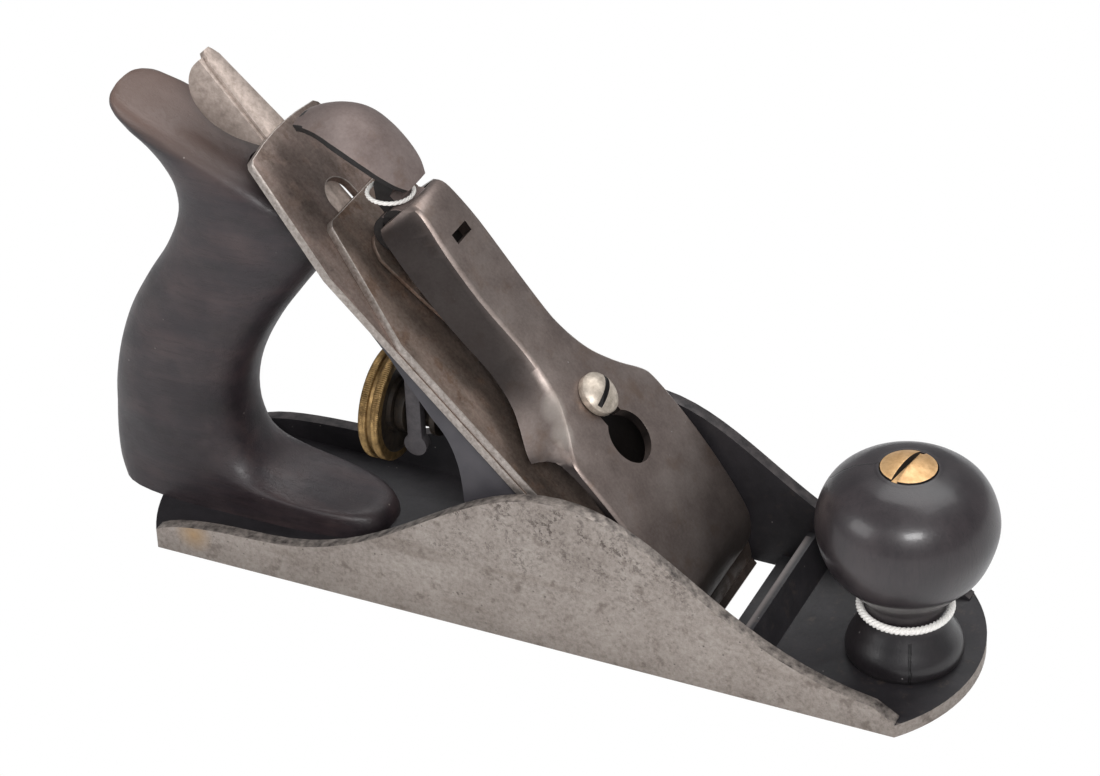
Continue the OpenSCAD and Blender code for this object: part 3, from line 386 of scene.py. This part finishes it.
def cap_metal(name, tone, flank, foot=None, rough=0.34, metallic=0.8, glints=()):
    """Lever cap and cam lever: satin grey-brown casting with painted shade on its steep flanks, and
    painted highlights where glints are given.
    """
    s = Shader(name)
    soft = s.noise(12, 5, 0.6)
    fine = s.noise(0.7, 5, 0.7, (1, 1, 1), 3)
    warm = s.ramp(soft, (0.32, rgb(112, 97, 92)), (0.5, rgb(134, 119, 113)),
                  (0.68, rgb(150, 136, 130)))
    speck = s.ramp(fine, (0.32, rgb(104, 91, 86)), (0.7, rgb(156, 142, 136)))
    base = s.mix(0.3, warm, speck)
    stain = s.ramp(s.noise(7, 5, 0.65, (1, 1, 1), 19), (0.55, 0.0), (0.68, 0.5))
    base = s.mix(stain, base, rgb(118, 96, 82))
    pits = s.ramp(s.cells(5.6, 7), (0.015, 1.0), (0.045, 0.0))
    base = s.mix(s.math("MULTIPLY", pits, 0.6), base, rgb(206, 200, 196))
    if flank:
        # Painted shade: steep faces turned towards -Y are darkened as a shaded flank.
        shaded_flank = s.facing((-0.1, -1, -0.05), 0.5, 0.9)
        base = s.mix(s.math("MULTIPLY", shaded_flank, flank), base, rgb(30, 26, 27))
    if foot:
        # Darker towards the given point: the lever cap towards its lower end by the mouth.
        darker_zone = s.near(*foot)
        base = s.mix(s.math("MULTIPLY", darker_zone, 0.95), base, rgb(28, 25, 25))
    # Painted highlights: bright spots at the given points on the lever cap's flare.
    for spot in glints:
        base = s.mix(s.math("MULTIPLY", s.near(*spot), 0.8), base, rgb(240, 228, 218))
    base = s.dim(base, tone)
    gloss = s.ramp(s.noise(5, 4, 0.6, (1, 1, 1), 8), (0.3, rough), (0.7, rough + 0.12))
    s.set(Base_Color=base, Metallic=metallic, Roughness=gloss, Normal=s.bump(fine, 0.03, 0.5))
    return s.mat


def old_steel(name, tint, rust, seed):
    """Cutter steel: brown patina drawn along the piece, with rust in patches."""
    s = Shader(name)
    along = s.noise(5, 6, 0.65, (0.5, 1.3, 0.5), seed)
    fine = s.noise(0.8, 6, 0.7, (1, 1, 1), seed + 2)
    base = s.ramp(along, (0.3, rgb(*[c * 0.72 for c in tint])), (0.52, rgb(*tint)),
                  (0.72, rgb(*[min(255, c * 1.26) for c in tint])))
    base = s.mix(0.3, base, s.ramp(fine, (0.3, rgb(84, 68, 56)), (0.7, rgb(170, 156, 144))))
    patch = s.ramp(s.noise(6, 6, 0.7, (1, 1, 1), seed + 5), (0.53, 0.0), (0.62, 1.0))
    base = s.mix(s.math("MULTIPLY", patch, rust), base,
                 s.ramp(fine, (0.3, rgb(72, 50, 38)), (0.7, rgb(122, 92, 70))))
    # Painted shade on the cap iron seen through the lever cap's keyhole; the irons are also darker
    # towards the mouth.
    darker_zone = s.math("MAXIMUM", s.near((40, 0, 4), 32),
                  s.ramp(s.near((10.5, 10, 33), 22), (0.0, 0.0), (0.4, 1.0)))
    base = s.mix(s.math("MULTIPLY", darker_zone, 0.95), base, rgb(22, 19, 19))
    rough = s.ramp(patch, (0, 0.42), (1, 0.66))
    s.set(Base_Color=base, Metallic=0.7, Roughness=rough, Normal=s.bump(fine, 0.05, 0.6))
    return s.mat


def edge_steel():
    """Bright sheared edges of the cutter and the cap iron."""
    s = Shader("edge_steel")
    fine = s.noise(0.9, 5, 0.7, (1, 1, 1), 2)
    base = s.ramp(fine, (0.3, rgb(132, 122, 116)), (0.7, rgb(190, 181, 174)))
    s.set(Base_Color=base, Metallic=0.7, Roughness=0.38, Normal=s.bump(fine, 0.03, 0.5))
    return s.mat


def plain_metal(name, low, high, rough=0.34, metallic=0.9, size=1.4):
    s = Shader(name)
    fine = s.noise(size, 5, 0.65)
    base = s.ramp(fine, (0.32, rgb(*low)), (0.68, rgb(*high)))
    s.set(Base_Color=base, Metallic=metallic, Roughness=s.ramp(fine, (0.3, rough + 0.1), (0.7, rough)),
          Normal=s.bump(fine, 0.03, 0.5))
    return s.mat


def lever_nickel():
    """The lateral lever: worn nickel, with painted shade on its tab, darker away from the fold."""
    s = Shader("lever_nickel")
    fine = s.noise(1.6, 6, 0.7)
    base = s.ramp(fine, (0.3, rgb(150, 136, 127)), (0.7, rgb(204, 188, 178)))
    # Painted shade: the tab's faces turned this way are darkened towards its lower edge.
    leaf = s.facing((-0.35, -0.8, 0.5), 0.55, 0.9)
    low = s.ramp(s.math("DIVIDE", s.axis("Z"), 120.0), (0.78, 1.0), (0.9, 0.1))
    base = s.mix(s.math("MULTIPLY", leaf, low), base, rgb(98, 86, 80))
    s.set(Base_Color=base, Metallic=0.5, Roughness=0.5, Normal=s.bump(fine, 0.03, 0.5))
    return s.mat


def rosewood():
    """Dark rosewood: fine dark pores drawn along the foot, with a rubbed sheen."""
    s = Shader("rosewood")
    wide = s.noise(7, 5, 0.6, (0.14, 1, 1), 2, (0, 0.06, 0))
    base = s.ramp(wide, (0.32, rgb(31, 26, 29)), (0.5, rgb(42, 34, 38)), (0.7, rgb(60, 47, 48)))
    pores = s.ramp(s.noise(0.7, 5, 0.75, (0.09, 1, 1), 9, (0, 0.06, 0)), (0.4, 1.0), (0.5, 0.0))
    base = s.mix(s.math("MULTIPLY", pores, 0.55), base, rgb(34, 26, 28))
    rub = s.ramp(s.noise(12, 4, 0.6, (1, 1, 1), 5), (0.45, 0.0), (0.75, 0.22))
    base = s.mix(rub, base, rgb(100, 84, 82))
    base = s.mix(s.math("MULTIPLY", s.edge(0.54, 0.62), 0.6), base, rgb(28, 22, 23))
    # Painted highlight: upward-facing surfaces at the top of the tote are lightened.
    high = s.ramp(s.math("DIVIDE", s.axis("Z"), 110.0), (0.8, 0.0), (0.95, 0.7))
    base = s.mix(s.math("MULTIPLY", high, s.facing((0, -0.3, 1), 0.2, 0.8)), base, rgb(120, 98, 88))
    specks = s.ramp(s.cells(6.5, 3), (0.012, 1.0), (0.035, 0.0))
    base = s.mix(s.math("MULTIPLY", specks, 0.6), base, rgb(180, 170, 164))
    rough = s.ramp(s.noise(8, 4, 0.6, (1, 1, 1), 15), (0.3, 0.4), (0.7, 0.55))
    s.set(Base_Color=base, Roughness=rough, Coat_Weight=0.12, Coat_Roughness=0.3,
          Normal=s.bump(pores, -0.04, 0.5))
    return s.mat


def knob_wood():
    """Nearly black knob with two fine cracks, one from the nut and one up the foot."""
    s = Shader("knob_wood")
    soft = s.noise(8, 5, 0.6, (1, 1, 0.3), 2)
    base = s.ramp(soft, (0.34, rgb(35, 30, 33)), (0.68, rgb(54, 47, 49)))
    pores = s.ramp(s.noise(0.6, 5, 0.7, (1, 1, 0.12), 6), (0.4, 1.0), (0.5, 0.0))
    base = s.mix(s.math("MULTIPLY", pores, 0.35), base, rgb(30, 27, 30))
    # Painted shade: the knob's foot under the ball is darkened.
    foot = s.ramp(s.math("DIVIDE", s.axis("Z"), 30.0), (0.38, 1.0), (0.6, 0.0))
    base = s.mix(s.math("MULTIPLY", foot, 0.7), base, rgb(24, 22, 24))
    specks = s.ramp(s.cells(5.5, 8), (0.012, 1.0), (0.04, 0.0))
    base = s.mix(s.math("MULTIPLY", specks, 0.55), base, rgb(176, 170, 168))
    east = s.math("SUBTRACT", s.axis("X"), KNOB_X)
    angle = s.math("ARCTAN2", s.axis("Y"), east)
    wobble = s.math("MULTIPLY", s.math("SUBTRACT", s.noise(3, 3, 0.5), 0.5), 0.16)
    turned = s.math("ADD", angle, wobble)
    cracks = None
    for place, low, high, width in ((-2.98, 38.0, 60.0, 0.022), (-1.13, 3.0, 12.4, 0.034)):
        off = s.math("ABSOLUTE", s.math("SUBTRACT", turned, place))
        line = s.ramp(s.math("DIVIDE", off, width), (0.3, 1.0), (1.0, 0.0))
        z = s.axis("Z")
        span = s.math("MULTIPLY", s.math("GREATER_THAN", z, low), s.math("LESS_THAN", z, high))
        line = s.math("MULTIPLY", line, span)
        cracks = line if cracks is None else s.math("MAXIMUM", cracks, line)
    base = s.mix(cracks, base, rgb(16, 14, 15))
    s.set(Base_Color=base, Roughness=s.ramp(soft, (0.3, 0.32), (0.7, 0.42)), Coat_Weight=0.3,
          Coat_Roughness=0.16, Normal=s.bump(cracks, -0.25, 1.0, s.bump(pores, -0.02, 0.4)))
    return s.mat


def cord_white():
    s = Shader("cord_white")
    fine = s.noise(0.3, 4, 0.7)
    base = s.ramp(fine, (0.3, rgb(240, 235, 228)), (0.7, rgb(255, 253, 250)))
    s.set(Base_Color=base, Roughness=0.85, Sheen_Weight=0.3, Normal=s.bump(fine, 0.05, 0.8))
    return s.mat


SIDE = bare_iron()
WORN = plain_metal("worn_rim", (150, 140, 132), (206, 198, 190), 0.45, 0.4)
NEAR_RIM = plain_metal("near_rim", (62, 56, 54), (166, 156, 148), 0.5, 0.4, 2.2)
FAR_RIM = plain_metal("far_rim", (30, 28, 30), (74, 68, 68), 0.5, 0.2, 3)
JAPAN = japanning()
FROG = frog_iron()
CHIPPED = plain_metal("frog_edge", (50, 48, 52), (92, 88, 88), 0.5, 0.0)
CAP = cap_metal("cap_metal", (1.12, 1.16, 1.16), 0.85, ((38, 0, 6), 36),
                glints=(((3.5, -12, 60.4), 5), ((6.1, -14, 57), 6), ((9.4, -17, 53.4), 5.5)))
CAM = cap_metal("cam_metal", (0.84, 0.84, 0.86), 0, None, 0.52, 0.5)
CAP_EDGE = plain_metal("cap_edge", (120, 106, 100), (186, 172, 164), 0.4, 0.6)
# Painted shade: near-black for undersides, hollows and slots that lie in shade.
PAINTED_SHADE = plain_metal("painted_shade", (20, 17, 17), (34, 30, 29), 0.6, 0.0)
CUTTER = old_steel("cutter_steel", (112, 97, 92), 0.2, 1)
CHIP = old_steel("cap_iron_steel", (120, 103, 94), 0.5, 14)
EDGE = edge_steel()
SCREW = plain_metal("screw_nickel", (164, 152, 138), (214, 202, 188), 0.4, 0.55)
PIN = plain_metal("pin_steel", (70, 64, 62), (108, 100, 96), 0.4)
HIDDEN = plain_metal("dull_steel", (34, 31, 31), (60, 55, 53), 0.6, 0.2)
LEVER = lever_nickel()
YOKE = plain_metal("yoke_iron", (70, 66, 69), (88, 84, 86), 0.5, 0.1)
BRASS = plain_metal("brass", (196, 154, 104), (226, 186, 136), 0.4, 0.6)
WHEEL = plain_metal("wheel_brass", (104, 82, 52), (168, 138, 92), 0.36, 0.8)
BRASS_DARK = plain_metal("brass_dark", (30, 26, 24), (58, 48, 38), 0.5, 0.3)
WOOD = rosewood()
KNOB = knob_wood()
CORD = cord_white()


# ---- Body casting ----

def body_casting():
    bare, black, worn, far_rim, near_rim = range(5)
    obj = soften("body_casting", 0.3, 34, 2, (SIDE, JAPAN, WORN, FAR_RIM, NEAR_RIM), worn, 0)

    def choose(c, n):
        side = 1 if c.y > 0 else -1
        sole = n.z < -0.6 and c.z < 0.5
        flank = abs(c.y) > 24.2 and n.y * side > 0.3
        end = c.z < FLOOR_Z and abs(n.z) < 0.5 and n.x * c.x > 0 and abs(c.x) > 80
        if sole or flank:
            return bare
        if abs(c.y) > 21.5 and n.z > 0.2 and c.z > 3.4:
            return far_rim if c.y > 0 else near_rim
        return bare if end else black
    paint(obj, choose, worn)
    for poly in obj.data.polygons:
        if poly.material_index != worn:
            continue
        c, n = poly.center / MM, poly.normal
        inner = abs(c.y) < 22.2 and c.z > 3.6 and n.z > 0.2
        outer_edge = c.y > 23.5 and c.z > 3.4 and n.z > 0.15
        if not inner and not outer_edge:
            poly.material_index = choose(c, n) if n.z < 0.2 or abs(c.y) > 24 else black
    finish_piece(obj, "plane_body", "body_casting", "bare_iron")


# ---- Tote ----

TOTE_X = -110.4
TOTE_LEAN = math.radians(16)
TOTE_ROD_X = -89.8
TOTE_HALF = 11
TOTE_GROW = 103.8 / 105  # height of the tote over the height its points were drawn for
TOTE_BACK = [(1.6, 0), (0.4, 4), (0, 9), (0.1, 14), (0.6, 20), (1.6, 28), (4, 38), (7.6, 47.5),
             (12.6, 56.5), (18, 65), (21.6, 73), (22.6, 79), (21.4, 85), (18, 90.5), (14, 95),
             (10, 98.6), (8.2, 101.4), (9, 103.8)]
TOTE_FRONT = [(68.5, 0), (68.2, 2.6), (65.6, 5), (56, 5.6), (46, 7.4), (38.6, 11.6), (35, 19),
              (34.6, 28), (37.2, 38), (42.8, 49), (49.6, 59), (55.6, 67.4), (59, 74.5),
              (57, 80.5), (49, 86.5), (36, 93.4), (24, 99), (13.6, 102.8)]
HORN = [0.5, 0.63, 0.76, 0.82, 0.88, 0.915, 0.95, 0.965, 0.98]


def tote_rod(t):
    """A point t mm up the tote's rod from the floor."""
    return Vector((TOTE_ROD_X + t * math.sin(TOTE_LEAN), 0, FLOOR_Z + t * math.cos(TOTE_LEAN))) * MM


def tote():
    back = catmull(TOTE_BACK, 4)
    front = catmull(TOTE_FRONT, 4)
    last = len(back) - 1
    rings = []
    steps = 56
    for k in range(last + 1):
        b, f = back[k], front[k]
        share = 1.0
        if last - k < len(HORN):
            share = HORN[last - k]
        square = 2.6 + 0.8 * max(0, 16 - k) / 16
        half = TOTE_HALF * share
        ring = []
        for i in range(steps):
            a = 2 * math.pi * i / steps
            c, s = math.cos(a), math.sin(a)
            r = (abs(c) ** square + abs(s) ** square) ** (-1 / square)
            x = (b[0] + f[0]) / 2 + (f[0] - b[0]) / 2 * r * c
            z = (b[1] + f[1]) / 2 + (f[1] - b[1]) / 2 * r * c
            ring.append(Vector((TOTE_X + x, -half * r * s, FLOOR_Z + z * TOTE_GROW)) * MM)
        rings.append(ring)
    obj = loft("tote_look", rings)
    lean = Matrix.Rotation(TOTE_LEAN, 4, "Y")
    for low, high, radius in ((-2, 110, 2.95), (75, 93, 4.1), (84, 120, 6.2)):
        hole(obj, tote_rod((low + high) / 2), lean, radius, high - low)
    apply_modifiers(obj)
    smooth_by_angle(obj, 38)
    finish_piece(obj, "plane_body", "tote", "tote_wood", WOOD)


def hole(obj, centre, turn, radius, length):
    bpy.ops.mesh.primitive_cylinder_add(vertices=64, radius=radius * MM, depth=length * MM)
    tool = bpy.context.object
    tool.data.transform(Matrix.Translation(centre) @ turn)
    cut = obj.modifiers.new("hole", "BOOLEAN")
    cut.operation = "DIFFERENCE"
    cut.solver = "EXACT"
    cut.object = tool
    apply_modifiers(obj)
    bpy.data.objects.remove(tool)


# ---- Knob ----

def knob():
    points = [(11.9, 0), (12.8, 1.6), (12.4, 4.2), (10.6, 7.6), (9.1, 10.6), (8.7, 13), (9.5, 16),
              (13.39, 20.4), (17.07, 25), (19.4, 32.4), (18.82, 38), (16.3, 42.8),
              (11.64, 46.3), (7, 47.7)]
    profile = [(4, 0)] + [tuple(p) for p in catmull(points, 8)]
    profile += [(6.5, 47.95), (6.25, 47.9), (6.2, 47.6), (6.2, 45.8), (4.1, 45.8), (4.1, 36)]
    place = Matrix.Translation(Vector((KNOB_X, 0, FLOOR_Z)) * MM)
    obj = lathe("knob_look", profile, place, 192)
    smooth_by_angle(obj, 38)
    finish_piece(obj, "plane_body", "knob", "knob_wood", KNOB)


# ---- Twisted strings ----

def cord_ring(name, centre, radius, thick, turns, body, node):
    """Three twisted strands round a level ring, kept inside the plain ring's thickness."""
    parts = []
    faces = []
    strands = 3
    steps = 360
    sides = 8
    each = thick * 0.31
    offset = thick / 2 - each
    for strand in range(strands):
        start = len(parts)
        for i in range(steps):
            a = 2 * math.pi * i / steps
            b = turns * a + 2 * math.pi * strand / strands
            mid_r = radius + offset * math.cos(b)
            mid_z = offset * math.sin(b)
            for j in range(sides):
                c = 2 * math.pi * j / sides
                r = mid_r + each * math.cos(c)
                p = Vector((r * math.cos(a), r * math.sin(a), mid_z + each * math.sin(c)))
                parts.append(centre + p * MM)
        for i in range(steps):
            for j in range(sides):
                i2, j2 = (i + 1) % steps, (j + 1) % sides
                faces.append((start + i * sides + j, start + i2 * sides + j,
                              start + i2 * sides + j2, start + i * sides + j2))
    obj = add_object(name, parts, faces)
    finish_piece(obj, body, node, "cord", CORD)


# ---- Depth wheel ----

WHEEL_X = BED_X - 77.9
WHEEL_Z = 37
WHEEL_TEETH = 170
TOOTH_STEPS = 6
TOOTH_DEPTH = 0.11
KNURL = (5, 6, 11, 12)   # the profile points that carry teeth


def depth_wheel():
    def wave(k, a):
        return TOOTH_DEPTH * (math.cos(WHEEL_TEETH * a) - 1) if k in KNURL else 0
    profile = [(4.65, 0), (10.6, 0), (11.0, 0), (11.6, 0), (12.7, 0.1), (13.1, 0.5),
               (13.1, 1.7), (12.7, 2.0), (12.4, 2.1), (12.4, 2.9), (12.7, 3.0), (13.1, 3.3),
               (13.1, 4.5), (12.7, 4.9), (11.6, 5.0), (11.0, 5.0), (10.9, 4.1), (6.7, 4.0),
               (6.6, 5.0), (4.65, 5.0), (4.65, 0)]
    turn = Matrix.Rotation(math.radians(90), 4, "Y")
    place = Matrix.Translation(Vector((WHEEL_X, 0, WHEEL_Z)) * MM) @ turn
    obj = lathe("depth_wheel_look", profile, place, WHEEL_TEETH * TOOTH_STEPS, wave)
    smooth_by_angle(obj, 50)
    finish_piece(obj, "wheel", "depth_wheel", "brass", WHEEL, BRASS_DARK)

    def choose(c, n):
        return 0 if math.hypot(c.y, c.z - WHEEL_Z) > 10.95 else 1
    paint(obj, choose)


# ---- Cam lever ----

THUMB = [(114.2, 20.8, 4, 0.2), (117, 21.4, 6.1, 0.9), (121, 22, 7.6, 1.9),
         (126, 22.2, 8.5, 2.8), (131, 21.3, 8.8, 3.1), (135, 19.4, 8.4, 3), (138, 16.4, 7.3, 2.4),
         (140, 12.6, 5.8, 1.4), (140.9, 9, 4.2, 0.4)]


CAM_U = 109.4
CAM_H = 13
CAM_R = 4.3
CAM_HALF = 5.2
CAM_DROP = CAM_H - CAM_R - 5.6  # how far the lobe reaches below the round of the pivot


def cam_lever():
    stations = catmull(THUMB, 8)
    rings = []
    n = 32
    thick = 1.6
    for k, p in enumerate(stations):
        a, b = stations[max(k - 1, 0)], stations[min(k + 1, len(stations) - 1)]
        d = Vector((b[0] - a[0], b[1] - a[1])).normalized()
        up = (-d[1], d[0])
        ring = []
        for i in range(2 * n + 2):
            top = i <= n
            s = 2 * i / n - 1 if top else 1 - 2 * (i - n - 1) / n
            edge = min(1.0, (1 - abs(s)) * 9)
            lip = 0.12 * (1 - edge) ** 2
            z = -p[3] * s * s - (lip if top else thick - lip * 0.6)
            ring.append(bed(p[0] + up[0] * z, -s * p[2], p[1] + up[1] * z))
        rings.append(ring)
    obj = loft("cam_thumb", rings)
    neck = [(0, -3), (7, -2.6), (10.5, 0.2), (12, 3.4), (14.2, 7.9), (8.4, 7.7), (7.2, 4.2),
            (6.4, 1.5), (0, 1.5)]
    verts = [bed(CAM_U + u, y, CAM_H + h) for y in (-2.6, 2.6) for u, h in neck]
    m = len(neck)
    faces = [tuple(range(m)), tuple(range(2 * m - 1, m - 1, -1))]
    faces += [(i, (i + 1) % m, (i + 1) % m + m, i + m) for i in range(m)]
    stem = add_object("cam_neck", verts, faces)
    parts = [obj, stem]
    half = [(CAM_R, CAM_HALF - 0.1), (CAM_R - 0.1, CAM_HALF), (0.01, CAM_HALF)]
    profile = [(r, -z) for r, z in reversed(half)] + half
    turn = Matrix.Rotation(math.radians(90), 4, "X")
    for drop in (0, CAM_DROP):
        place = Matrix.Translation(bed(CAM_U, 0, CAM_H - drop)) @ turn
        parts.append(lathe("cam_round", profile, place, 64))
    join(parts)
    smooth_by_angle(obj, 42)
    finish_piece(obj, "cam_unit", "cam_lever", "lever_cap_iron", CAM, PAINTED_SHADE)

    def choose(c, n):
        # The thumb's underside and side strip get painted shade.
        return 1 if n.x + n.z < 0.3 else 0
    paint(obj, choose)


def join(parts):
    bm = bmesh.new()
    for part in parts:
        bm.from_mesh(part.data)
    bmesh.ops.recalc_face_normals(bm, faces=bm.faces)
    bm.to_mesh(parts[0].data)
    bm.free()
    for part in parts[1:]:
        bpy.data.objects.remove(part)


# ---- Pieces that follow the CAD closely ----

def painted(node, body, slot, width, mats, choose=None, worn=None, angle=34, segments=2,
            flat=1.2):
    obj = soften(node, width, angle, segments, mats, worn, flat)
    if choose:
        paint(obj, choose, worn)
    return finish_piece(obj, body, node, slot)


def lever_cap():
    def choose(c, n):
        out = n.x + n.z
        # Faces turned away from the lever cap's face get painted shade.
        return 1 if out < -0.3 else 0
    painted("lever_cap", "lever_cap_unit", "lever_cap_iron", 0.14, (CAP, PAINTED_SHADE, CAP_EDGE), choose, 2,
            26, 1)


def irons():
    def choose(c, n):
        inside = abs(c.y) < 8.5 and 6 < c.z < 92
        return 1 if abs(n.x + n.z) < 0.9 and not inside else 0
    painted("plane_iron", "cutter", "tool_steel", 0.2, (CUTTER, EDGE), choose, 1)
    painted("cap_iron", "cap_iron_unit", "tool_steel", 0.2, (CHIP, EDGE), choose, 1)


SCREW_U = 54.5
SCREW_TOP = 21.4
SCREW_DOME = 6.4


def small_pieces():
    for node, body, slot, mat, width in (
            ("frog_screws", "plane_body", "screw_steel", HIDDEN, 0.3),
            ("frog_washers", "plane_body", "screw_steel", HIDDEN, 0.15),
            ("depth_screw", "frog_unit", "screw_steel", HIDDEN, 0.3),
            ("depth_hub", "wheel_hub", "lever_steel", BRASS_DARK, 0.2),
            ("yoke_lever", "yoke", "lever_steel", YOKE, 0.2),
            ("yoke_pin", "frog_unit", "screw_steel", HIDDEN, 0.2),
            ("lateral_pivot", "frog_unit", "screw_steel", HIDDEN, 0.2),
            ("lateral_roller", "lateral_unit", "screw_steel", PIN, 0.15),
            ("roller_rivet", "lateral_unit", "screw_steel", PIN, 0.1),
            ("cap_iron_screw", "cap_iron_unit", "screw_steel", HIDDEN, 0.25),
            ("cam_pin", "lever_cap_unit", "screw_steel", PIN, 0.2),
            ("leaf_spring", "lever_cap_unit", "lever_steel", CHIP, 0.15),
            ("spring_rivet", "lever_cap_unit", "screw_steel", PIN, 0.15),
            ("tote_rod", "plane_body", "screw_steel", PIN, 0.2),
            ("tote_nut", "plane_body", "brass", BRASS, 0.25),
            ("knob_rod", "plane_body", "screw_steel", PIN, 0.2)):
        painted(node, body, slot, width, (mat,))
    painted("frog", "frog_unit", "frog_iron", 0.25, (FROG, CHIPPED), None, 1, flat=0)
    painted("lateral_lever", "lateral_unit", "lever_steel", 0.3, (LEVER,))

    def head(c, n):
        # Slot walls and sides of the nut's head get painted shade.
        return 1 if c.z > 48 and n.z < 0.5 else 0
    painted("knob_nut", "plane_body", "brass", 0.2, (BRASS, PAINTED_SHADE), head)

    dome = bed(SCREW_U, 0, SCREW_TOP - SCREW_DOME) / MM

    def cut(c, n):
        off = c - dome
        near_top = (off.x + off.z) / ROOT2 > SCREW_DOME - 2
        # Faces in the screw's slot get painted shade.
        return 1 if near_top and off.length < SCREW_DOME - 0.3 else 0
    painted("lever_cap_screw", "cap_screw", "screw_steel", 0.25, (SCREW, PAINTED_SHADE), cut)


# ---- Stage ----

def softbox(name, place, aim, size, power):
    data = bpy.data.lights.new(name, "AREA")
    data.shape = "RECTANGLE"
    data.size = size[0]
    data.size_y = size[1]
    data.energy = power
    obj = bpy.data.objects.new(name, data)
    obj.location = place
    obj.rotation_euler = (Vector(aim) - Vector(place)).to_track_quat("-Z", "Y").to_euler()
    bpy.context.scene.collection.objects.link(obj)


def white_for_camera(tree, shader, output):
    """Plain white where the camera looks at it, and the given shader for every other ray."""
    bright = tree.nodes.new("ShaderNodeEmission")
    bright.inputs["Color"].default_value = (1, 1, 1, 1)
    bright.inputs["Strength"].default_value = 1.0
    ray = tree.nodes.new("ShaderNodeLightPath")
    mix = tree.nodes.new("ShaderNodeMixShader")
    tree.links.new(ray.outputs["Is Camera Ray"], mix.inputs[0])
    tree.links.new(shader, mix.inputs[1])
    tree.links.new(bright.outputs[0], mix.inputs[2])
    tree.links.new(mix.outputs[0], output)


def stage():
    mat = bpy.data.materials.new("paper")
    mat.use_nodes = True
    tree = mat.node_tree
    bsdf = tree.nodes["Principled BSDF"]
    bsdf.inputs["Base Color"].default_value = (0.8, 0.8, 0.8, 1)
    bsdf.inputs["Roughness"].default_value = 0.9
    white_for_camera(tree, bsdf.outputs[0], tree.nodes["Material Output"].inputs["Surface"])
    size = 6.0
    low = -0.0003
    corners = [(-size, -size, low), (size, -size, low), (size, size, low), (-size, size, low)]
    floor = add_object("paper_floor", corners, [(0, 1, 2, 3)], False)
    floor.data.materials.append(mat)
    softbox("top_box", (0.1, 0.35, 0.9), (0, 0, 0.03), (0.9, 0.7), 5.5)
    softbox("front_box", (0.42, -0.62, 0.62), (0, 0, 0.03), (0.32, 0.22), 5.0)
    softbox("left_box", (-0.7, -0.75, 0.6), (0, 0, 0.05), (0.6, 0.5), 4.0)
    world = bpy.data.worlds.new("studio")
    bpy.context.scene.world = world
    world.use_nodes = True
    tree = world.node_tree
    back = tree.nodes["Background"]
    back.inputs["Color"].default_value = (0.9, 0.92, 0.95, 1)
    back.inputs["Strength"].default_value = 0.3
    white_for_camera(tree, back.outputs[0], tree.nodes["World Output"].inputs["Surface"])
    bpy.context.scene.view_settings.view_transform = "Standard"


def camera():
    data = bpy.data.cameras.new("camera")
    data.sensor_fit = "HORIZONTAL"
    data.sensor_width = 36
    data.lens = 126
    data.clip_start = 0.01
    data.clip_end = 20
    obj = bpy.data.objects.new("camera", data)
    right = Vector((0.9073436, 0.41909297, -0.03299511))
    up = Vector((-0.21046729, 0.52080067, 0.82732713))
    back = Vector((0.36391086, -0.74372558, 0.56075052))
    matrix = Matrix((right, up, back)).transposed().to_4x4()
    matrix.translation = Vector((299.765, -615.289, 514.088)) * MM
    obj.matrix_world = matrix
    bpy.context.scene.collection.objects.link(obj)
    bpy.context.scene.camera = obj


body_casting()
tote()
knob()
cord_ring("knob_string_look", Vector((KNOB_X, 0, 15.8)) * MM, 9.75, 1.8, 20, "plane_body",
          "knob_string")
cord_ring("lever_string_look", bed(116.2, 0, 13.2), 5, 1.0, 10, "cam_unit", "lever_string")
depth_wheel()
cam_lever()
lever_cap()
irons()
small_pieces()
stage()
camera()
